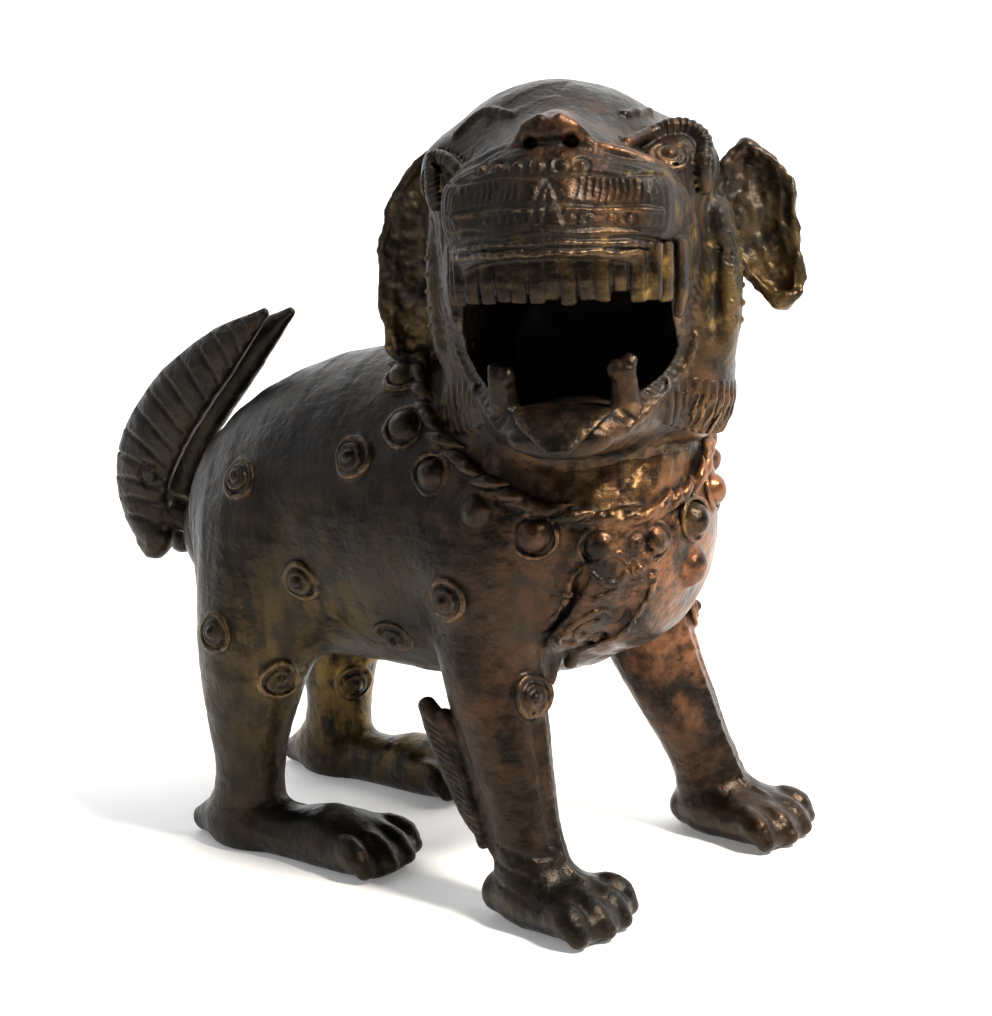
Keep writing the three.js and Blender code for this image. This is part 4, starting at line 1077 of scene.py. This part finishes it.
def mark_legs():
    for side, word in SIDES:
        run = curve(foreleg_stations(side), 24)
        name = f"foreleg_{word}"
        pts = [[run[k][0] - .15 * side, run[k][1] - 40, run[k][2]] for k in range(7, 24)]
        hits, ok = strike(pts, Y, (name,))
        wax_thread(hits[ok], .42, .8)
        pts = [[run[k][0] + side * 2.4 + .1 * (k - 14), run[k][1] - 40, run[k][2]] for k in range(11, 21)]
        scratch_where(pts, Y, (name,), .34, .3)
        names = (f"elbow_fin_{word}",)
        for k in range(16):
            s = run[13] + (run[20] - run[13]) * k / 15
            y = s[1] + 1.05 * s[4] + 1.6 - .12 * k
            pts = [[side * CLEAR, y + d, s[2] + .5 * d] for d in (-.6, .8, 2.2)]
            scratch_where(pts, -side * X, names, .26, .15, 2)
        pts = [[side * CLEAR, run[k][1] + .62 * run[k][4] + 1.2, run[k][2]] for k in range(14, 21)]
        scratch_where(pts, -side * X, names + (name,), .4, .3)
        heel = run[-1]
        for k in (0, 2, 4):
            z = 7.5 + 1.6 * k
            pts = [[side * CLEAR, heel[1] + s, z + .2 * s] for s in np.linspace(-5, 5, 5)]
            scratch_where(pts, -side * X, (name,), .26, .25, 2)


def mark_pits():
    """Small casting pits and stray drops of metal over the body."""
    for k in range(70):
        share, angle = rng.uniform(.06, .97), rng.uniform(-75, 255)
        at, way = torso_spot(share, angle)
        hit, ok = strike([at], way, SKIN)
        size = rng.uniform(.16, .42)
        if ok[0]:
            if k % 3:
                scratch([hit[0], hit[0] + .02 * Z], size, .2)
            else:
                wax_thread([hit[0] - .3 * size * unit(-way), hit[0]], .8 * size, .3)


mark_muzzle()
mark_brows()
mark_crown()
mark_cheeks()
mark_lips()
mark_tail()
mark_bib()
mark_legs()
mark_pits()


# ---------- waxy unevenness ----------
def between(grid, cell, share):
    """The values of a grid between its eight nearest corners; the grid repeats."""
    total = 0
    for corner in np.ndindex(2, 2, 2):
        weight = np.prod(np.where(corner, share, 1 - share), axis=1)
        total = total + weight * grid[tuple((cell + corner).T % np.array(grid.shape)[:, None])]
    return total


LUMP_CELLS = 32
LUMP_GRID = np.random.default_rng(5).uniform(-1, 1, (LUMP_CELLS,) * 3).astype(np.float32)


def lumps(points, wavelength):
    """Smooth noise that is the same wherever it is asked for."""
    q = points / wavelength + 101.0
    cell = np.floor(q).astype(int)
    share = q - cell
    return between(LUMP_GRID, cell, share * share * (3 - 2 * share))


def near(points, at, radius):
    return np.exp(-((points - np.asarray(at)) ** 2).sum(1) / (2 * radius ** 2))


def painted_cavity_shade(points):
    """Painted shade: 1 deep in the mouth and throat, fading out at the lips; about half in the ears."""
    x, y, z = HEAD.inside(points).T
    deep = np.clip((y + 22) / 9, 0, 1) * np.clip((19.5 - np.abs(x)) / 2.5, 0, 1)
    mouth = deep * np.clip((z + 27) / 4, 0, 1) * np.clip((14 - z) / 4, 0, 1) * np.clip((22 - y) / 4, 0, 1)
    bowls = near(HEAD.inside(points), [28, 3, 14], 7) + near(HEAD.inside(points), [-30, 4, 8], 9)
    return np.clip(mouth + .55 * bowls, 0, 1)


# ---------- casting: from clay to mesh ----------
def read_clay(clay, value, points):
    """Distances at any points of a block, between its own."""
    q = np.clip((points - clay.low) / clay.pitch, 0, clay.count - 1.001)
    cell = q.astype(int)
    return between(value, cell, (q - cell).astype(np.float32))


def press(clay, margin):
    """The whole statue's field in one block."""
    value = np.full(clay.count, FAR, np.float32)
    for kind, _, shape, soft in stack:
        reach = margin + soft
        if (shape.low - reach > clay.high).any() or (shape.high + reach < clay.low).any():
            continue
        where = clay.block(shape.low - reach, shape.high + reach)[0]
        if where is None:
            continue
        d = fill(shape, clay.sub(where), reach)
        if kind == "lay":
            value[where] = blend_in(value[where], d, soft)
        else:
            value[where] = -blend_in(-value[where], d, soft)
    for thread in threads:
        if (thread.low > clay.high).any() or (thread.high < clay.low).any():
            continue
        thread.press(clay, value)
    return value


def corner_normals(verts, quads):
    a, b, c, d = (verts[quads[:, k]] for k in range(4))
    n = np.cross(c - a, d - b)
    total = np.zeros_like(verts)
    for k in range(4):
        for j in range(3):
            total[:, j] += np.bincount(quads[:, k], n[:, j], len(verts))
    return unit(total)


LEVEL_STEP = 0.012             # keeps the skins of neighbouring pieces apart


def cast(name):
    """Presses one piece, cuts it from the whole near its own shape and meshes it."""
    shape, soft = next((shape, soft) for _, laid, shape, soft in stack if laid == name)
    facts = finish[name]
    pitch = facts["pitch"] * COARSE
    reach = max(0.55 * soft, 0.5)
    margin = reach + 3 * pitch
    clay = Clay(shape.low - margin, shape.high + margin, pitch)
    whole = press(clay, margin)
    own = fill(shape, clay, margin)
    level = LEVEL_STEP * (facts["level"] % 5)
    value = np.maximum(whole + level, own - reach).astype(np.float32)
    for i in range(3):
        wall = [slice(None)] * 3
        for j in (0, -1):
            wall[i] = j
            value[tuple(wall)] = np.maximum(value[tuple(wall)], 0.5 * pitch)
    grid = openvdb.FloatGrid(FAR)
    grid.copyFromArray(value)
    points, quads = grid.convertToQuads(0.0)
    verts = clay.low + points.astype(float) * pitch
    quads = quads.astype(np.int64)
    normal = corner_normals(verts, quads)
    marks = {key: np.clip(1 - read_clay(clay, whole, verts + out * normal) / out, 0, 1.5)
             for key, out in (("recess", 1.1), ("crease", 0.5), ("edge", -0.9))}
    rough = facts["rough"] + 2.2 * near(verts, COLLAR_MID + [-11, -19, -6], 7)
    grown = .16 * lumps(verts, 9.0) + rough * (.085 * lumps(verts + 31, 3.6) + .055 * lumps(verts + 57, 1.7))
    grown += .03 * (rough + .4) * lumps(verts + 83, .95)
    calm = np.clip(verts[:, 2] / 1.2, 0, 1)
    verts = verts + normal * (grown * calm)[:, None]
    # the painted shade of the mouth, throat and ear bowls is kept with the other marks
    return verts, quads, {**marks, "painted_cavity_shade": painted_cavity_shade(verts)}


# ---------- tones of the patina over the statue ----------
def tones(points):
    """How much copper red and olive gold shows at each point, from 0 to 1."""
    head = HEAD.inside(points)
    wild, wide = .5 + .5 * lumps(points + 11, 7.0), .5 + .5 * lumps(points + 71, 12.0)
    chest = near(points, [MID_X - 4, CHEST + 4, AXIS_Z + 4], 14)
    chest += .8 * near(points, [MID_X + 14, CHEST + 12, AXIS_Z + 8], 15)
    neck = near(points, COLLAR_MID + [4, -14, 4], 13)
    limb = near(points, [MID_X + 24, SHOULDER - 14, 40], 13)
    limb += .2 * near(points, [MID_X - 24, SHOULDER - 8, 34], 12)
    nose = near(head, [0, -27, BRIDGE + 4], 6) + .8 * near(head, [13, -27, LIP + 10], 7)
    nose += .4 * near(head, [16, -14, 18], 8)
    copper = np.clip((1.1 * chest + .8 * neck + .8 * limb + .6 * nose) * (.35 + .9 * wild), 0, 1)
    ears = .5 * near(head, [-31, 2, 2], 11) + .5 * near(head, [31, 2, 6], 9)
    throat = .9 * near(points, COLLAR_MID + [-9, -18, -5], 8)
    hock = near(points, [MID_X + 20, HIP + 6, 24], 17) + .45 * near(points, [MID_X - 16, HIP - 18, 44], 12)
    cheek = .35 * near(head, [22, -14, -2], 9) + .5 * near(head, [14, -27, 1], 6)
    belly = .5 * near(points, [MID_X, HIP - 20, 36], 15)
    gold = np.clip((ears + throat + .9 * hock + cheek + belly) * (.35 + wide), 0, 1)
    return copper, gold


def new_object(name, data):
    made = bpy.data.objects.new(name, data)
    bpy.context.scene.collection.objects.link(made)
    return made


def mesh_from(name, verts, quads, marks):
    mesh = bpy.data.meshes.new(name)
    mesh.vertices.add(len(verts))
    mesh.vertices.foreach_set("co", (verts * MM).astype(np.float32).ravel())
    mesh.loops.add(len(quads) * 4)
    mesh.loops.foreach_set("vertex_index", quads.astype(np.int32).ravel())
    mesh.polygons.add(len(quads))
    mesh.polygons.foreach_set("loop_start", np.arange(len(quads), dtype=np.int32) * 4)
    mesh.polygons.foreach_set("use_smooth", np.ones(len(quads), bool))
    copper, gold = tones(verts)
    for key, values in {**marks, "copper": copper, "gold": gold}.items():
        layer = mesh.attributes.new(key, "FLOAT", "POINT")
        layer.data.foreach_set("value", np.asarray(values, np.float32))
    mesh.update()
    mesh.validate()
    return new_object(name, mesh)


# ---------- shader maths ----------
class Wire:
    """A shader socket that takes part in sums."""

    def __init__(self, paint, socket):
        self.paint, self.socket = paint, socket

    def _math(self, operation, a, b):
        return self.paint.node("ShaderNodeMath", {"operation": operation}, {0: a, 1: b})

    def __add__(self, other):
        return self._math("ADD", self, other)

    def __sub__(self, other):
        return self._math("SUBTRACT", self, other)

    def __mul__(self, other):
        return self._math("MULTIPLY", self, other)

    def __truediv__(self, other):
        return self._math("DIVIDE", self, other)

    def __pow__(self, other):
        return self._math("POWER", self, other)

    def __rsub__(self, other):
        return self._math("SUBTRACT", other, self)

    __radd__ = __add__
    __rmul__ = __mul__

    def clamped(self):
        return self.paint.node("ShaderNodeMath", {"operation": "MAXIMUM"},
                               {0: self._math("MINIMUM", self, 1.0), 1: 0.0})


class Paint:
    """One material's nodes."""

    def __init__(self, name):
        self.material = bpy.data.materials.new(name)
        self.material.use_nodes = True
        self.tree = self.material.node_tree
        self.shader = self.tree.nodes["Principled BSDF"]

    def node(self, kind, settings=(), sockets=(), out=0):
        made = self.tree.nodes.new(kind)
        for key, value in dict(settings).items():
            setattr(made, key, value)
        for key, value in dict(sockets).items():
            self.feed(made.inputs[key], value)
        return Wire(self, made.outputs[out])

    def feed(self, socket, value):
        if isinstance(value, Wire):
            self.tree.links.new(value.socket, socket)
        else:
            socket.default_value = value

    def surface(self, sockets):
        for key, value in sockets.items():
            self.feed(self.shader.inputs[key], value)
        return self.material

    def noise(self, scale, detail=4.0, rough=0.55, stretch=None):
        spot = self.node("ShaderNodeTexCoord", out="Object")
        if stretch:
            spot = self.node("ShaderNodeMapping", {}, {"Vector": spot, "Scale": stretch}, "Vector")
        return self.node("ShaderNodeTexNoise", {"noise_dimensions": "3D"},
                         {"Vector": spot, "Scale": scale, "Detail": detail, "Roughness": rough}, "Fac")

    def ramp(self, value, low, high):
        return self.node("ShaderNodeMapRange", {"clamp": True, "interpolation_type": "SMOOTHSTEP"},
                         {"Value": value, "From Min": low, "From Max": high, "To Min": 0.0, "To Max": 1.0})

    def mark(self, name):
        return self.node("ShaderNodeAttribute", {"attribute_name": name}, out="Fac")

    def mix(self, share, a, b):
        return self.node("ShaderNodeMix", {"data_type": "RGBA"}, {"Factor": share, "A": a, "B": b}, 2)

    def bump(self, height, depth, strength=1.0, under=None):
        sockets = {"Height": height, "Distance": depth, "Strength": strength}
        if under is not None:
            sockets["Normal"] = under
        return self.node("ShaderNodeBump", {}, sockets, "Normal")


def rgb(r, g, b):
    return (r, g, b, 1.0)


def patinated_bronze(name, ground, warm, lean_copper, lean_gold, shine):
    """Cast bronze with its dark skin, worn to copper on the high places and gold in the hollows, with painted
    shade that darkens its creases, recesses, mouth and ear bowls.
    """
    p = Paint(name)
    recess, crease, edge = p.mark("recess"), p.mark("crease"), p.mark("edge")
    cloud = p.noise(90.0, 5.0, 0.6)
    grain = p.noise(900.0, 3.0, 0.6)
    mottle = p.noise(260.0, 4.0, 0.65)
    streak = p.noise(320.0, 3.0, 0.55, stretch=(1.0, 1.0, 0.25))
    dark = p.mix(p.ramp(cloud, 0.35, 0.68), rgb(*ground), rgb(*warm))
    brown = p.mix(p.ramp(mottle, 0.50, 0.74) * 0.45, dark, rgb(0.040, 0.021, 0.012))
    copper = (p.mark("copper") + lean_copper) * p.ramp(mottle + cloud, 0.80, 1.24)
    red = p.mix((copper * 1.05).clamped(), brown, rgb(0.200, 0.082, 0.038))
    gold = (p.mark("gold") + lean_gold) * p.ramp(streak + mottle, 0.78, 1.18)
    olive = p.mix((gold * 0.95).clamped(), red, rgb(0.140, 0.088, 0.024))
    worn = (p.ramp(edge, 0.30, 0.85) * p.ramp(grain + cloud, 0.82, 1.24) * 0.38).clamped()
    bright = p.mix(worn, olive, rgb(0.230, 0.138, 0.068))
    # painted shade: the mouth, throat and ear bowls
    shade = p.mark("painted_cavity_shade")
    # painted shade: creases, recesses and the painted shade of the mouth and ears darken the colour towards
    # near black
    painted_hollow_shade = (p.ramp(crease, 0.08, 0.60) * 0.65 + p.ramp(recess, 0.20, 0.90) * 0.55 + shade).clamped()
    glint = p.ramp(mottle * streak, 0.26, 0.42) * p.ramp(recess, 0.15, 0.7) * (p.mark("gold") * 0.9 + 0.12)
    # painted shade mixed into the base colour
    colour_with_painted_shade = p.mix(painted_hollow_shade * 0.92, bright, rgb(0.010, 0.007, 0.005))
    base = p.mix(glint.clamped(), colour_with_painted_shade, rgb(0.46, 0.29, 0.08))
    dull = shine + 0.16 * painted_hollow_shade + 0.14 * p.ramp(mottle, 0.35, 0.7) - 0.10 * worn - 0.05 * copper
    dull = (dull + 0.10 * (grain - 0.5)).clamped()
    metal = (0.80 - 0.20 * painted_hollow_shade - 0.35 * shade).clamped()
    brushed = p.noise(700.0, 2.0, 0.6, stretch=(1.0, 0.12, 1.0))
    fine = p.bump(grain, 0.00018, 0.8)
    medium = p.bump(mottle, 0.00022, 0.6, fine)
    broad = p.bump(streak + brushed * 0.8, 0.00020, 0.55, medium)
    return p.surface({"Base Color": base, "Specular IOR Level": 0.4, "Roughness": dull, "Metallic": metal,
                      "Normal": broad})


def plain_surface(name, colour, grain_scale, roughness, glow):
    """A painted studio surface with a little tooth."""
    p = Paint(name)
    cloth = p.noise(grain_scale, 3.0, 0.5)
    tint = p.mix(p.ramp(cloth, 0.3, 0.7), rgb(*colour), rgb(*(c * 0.985 for c in colour)))
    return p.surface({"Base Color": tint, "Roughness": roughness, "Emission Color": rgb(*colour),
                      "Emission Strength": glow, "Normal": p.bump(cloth, 0.0002, 0.2)})


MATERIALS = {
    "bronze_dark": patinated_bronze("dark_patina_bronze", (0.0065, 0.0054, 0.0042),
                                    (0.015, 0.0115, 0.008), 0.0, 0.02, 0.34),
    "bronze_copper": patinated_bronze("copper_worn_bronze", (0.0085, 0.0062, 0.0046),
                                      (0.021, 0.0135, 0.009), 0.03, 0.04, 0.32),
    "bronze_gold": patinated_bronze("olive_gold_bronze", (0.0075, 0.0058, 0.0040),
                                    (0.017, 0.0122, 0.0075), 0.04, 0.03, 0.35),
}

for name in finish:
    verts, quads, marks = cast(name)
    piece = mesh_from(f"{name}_cast", verts, quads, marks)
    piece.data.materials.append(MATERIALS[finish[name]["slot"]])
    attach(piece, "root")
    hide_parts(name)


# ---------- studio ----------
CAMERA_TURN, CAMERA_RISE, CAMERA_ROLL = -54.34, 12.67, -3.18
CAMERA_AWAY, CAMERA_LENS = 0.42316, 81.84
WALL_BEHIND, WALL_TURN = 0.195, -8.0
AIM = (np.array(cad_low) + np.array(cad_high)) / 2 + np.array([7.08, -12.06, -7.1]) * MM


def outwards(turn, rise):
    """The way out from the statue, turned about +Z from its front and raised, in degrees."""
    a, e = radians(turn), radians(rise)
    return np.array([sin(a) * cos(e), -cos(a) * cos(e), sin(e)])


def floor_and_wall():
    """A pale floor that meets a pale wall close behind the statue."""
    away, back = (-outwards(turn, 0)[:2] for turn in (CAMERA_TURN, CAMERA_TURN + WALL_TURN))
    side = np.array([back[1], -back[0]])
    foot = away * WALL_BEHIND + AIM[:2]
    table = plain_surface("pale_table", (0.93, 0.915, 0.895), 60, 0.6, 0.16)
    wall = plain_surface("pale_wall", (0.76, 0.80, 0.86), 240, 0.9, 0.30)
    for name, rows, material in (("floor", [(-3.0, 0.0), (0.0, 0.0)], table),
                                 ("backdrop", [(0.0, -0.05), (0.0, 2.6)], wall)):
        verts = [(*(foot + back * out + side * s), up) for out, up in rows for s in (-3.0, 3.0)]
        mesh = bpy.data.meshes.new(name)
        mesh.from_pydata([tuple(map(float, v)) for v in verts], [], [(0, 1, 3, 2)])
        mesh.materials.append(material)
        sheet = new_object(name, mesh)


def camera():
    back, r = outwards(CAMERA_TURN, CAMERA_RISE), radians(CAMERA_ROLL)
    right = outwards(CAMERA_TURN + 90, 0)
    up = np.cross(back, right)
    right, up = cos(r) * right + sin(r) * up, cos(r) * up - sin(r) * right
    data = bpy.data.cameras.new("camera")
    data.lens, data.sensor_width, data.sensor_fit = CAMERA_LENS, 36.0, "HORIZONTAL"
    data.clip_start, data.clip_end = 0.01, 20
    eye = new_object("camera", data)
    turn = mathutils.Matrix([[*row, 0] for row in np.array([right, up, back]).T] + [[0, 0, 0, 1]])
    turn.translation = AIM + CAMERA_AWAY * back
    eye.matrix_world = turn
    bpy.context.scene.camera = eye


def soft_light(name, turn, rise, away, size, power, colour):
    data = bpy.data.lights.new(name, "AREA")
    data.shape, data.size, data.energy, data.color = "DISK", size, power, colour
    lamp = new_object(name, data)
    back = outwards(turn, rise)
    lamp.location = mathutils.Vector(back * away) + mathutils.Vector((0, 0, 0.06))
    lamp.rotation_mode = "QUATERNION"
    lamp.rotation_quaternion = mathutils.Vector(-back).to_track_quat("-Z", "Y")


def studio():
    world = bpy.data.worlds.new("studio")
    bpy.context.scene.world = world
    world.use_nodes = True
    sky = world.node_tree.nodes["Background"]
    sky.inputs["Color"].default_value = (0.80, 0.87, 1.0, 1)
    sky.inputs["Strength"].default_value = 0.10
    bpy.context.scene.view_settings.view_transform = "Standard"
    soft_light("key", CAMERA_TURN + 52, 48, 1.1, 0.24, 29, (1.0, 0.94, 0.84))
    soft_light("fill", CAMERA_TURN - 75, 28, 1.3, 0.9, 3.5, (0.86, 0.92, 1.0))
    soft_light("top", CAMERA_TURN + 170, 62, 1.2, 0.5, 3.5, (1.0, 0.98, 0.95))


floor_and_wall()
camera()
studio()
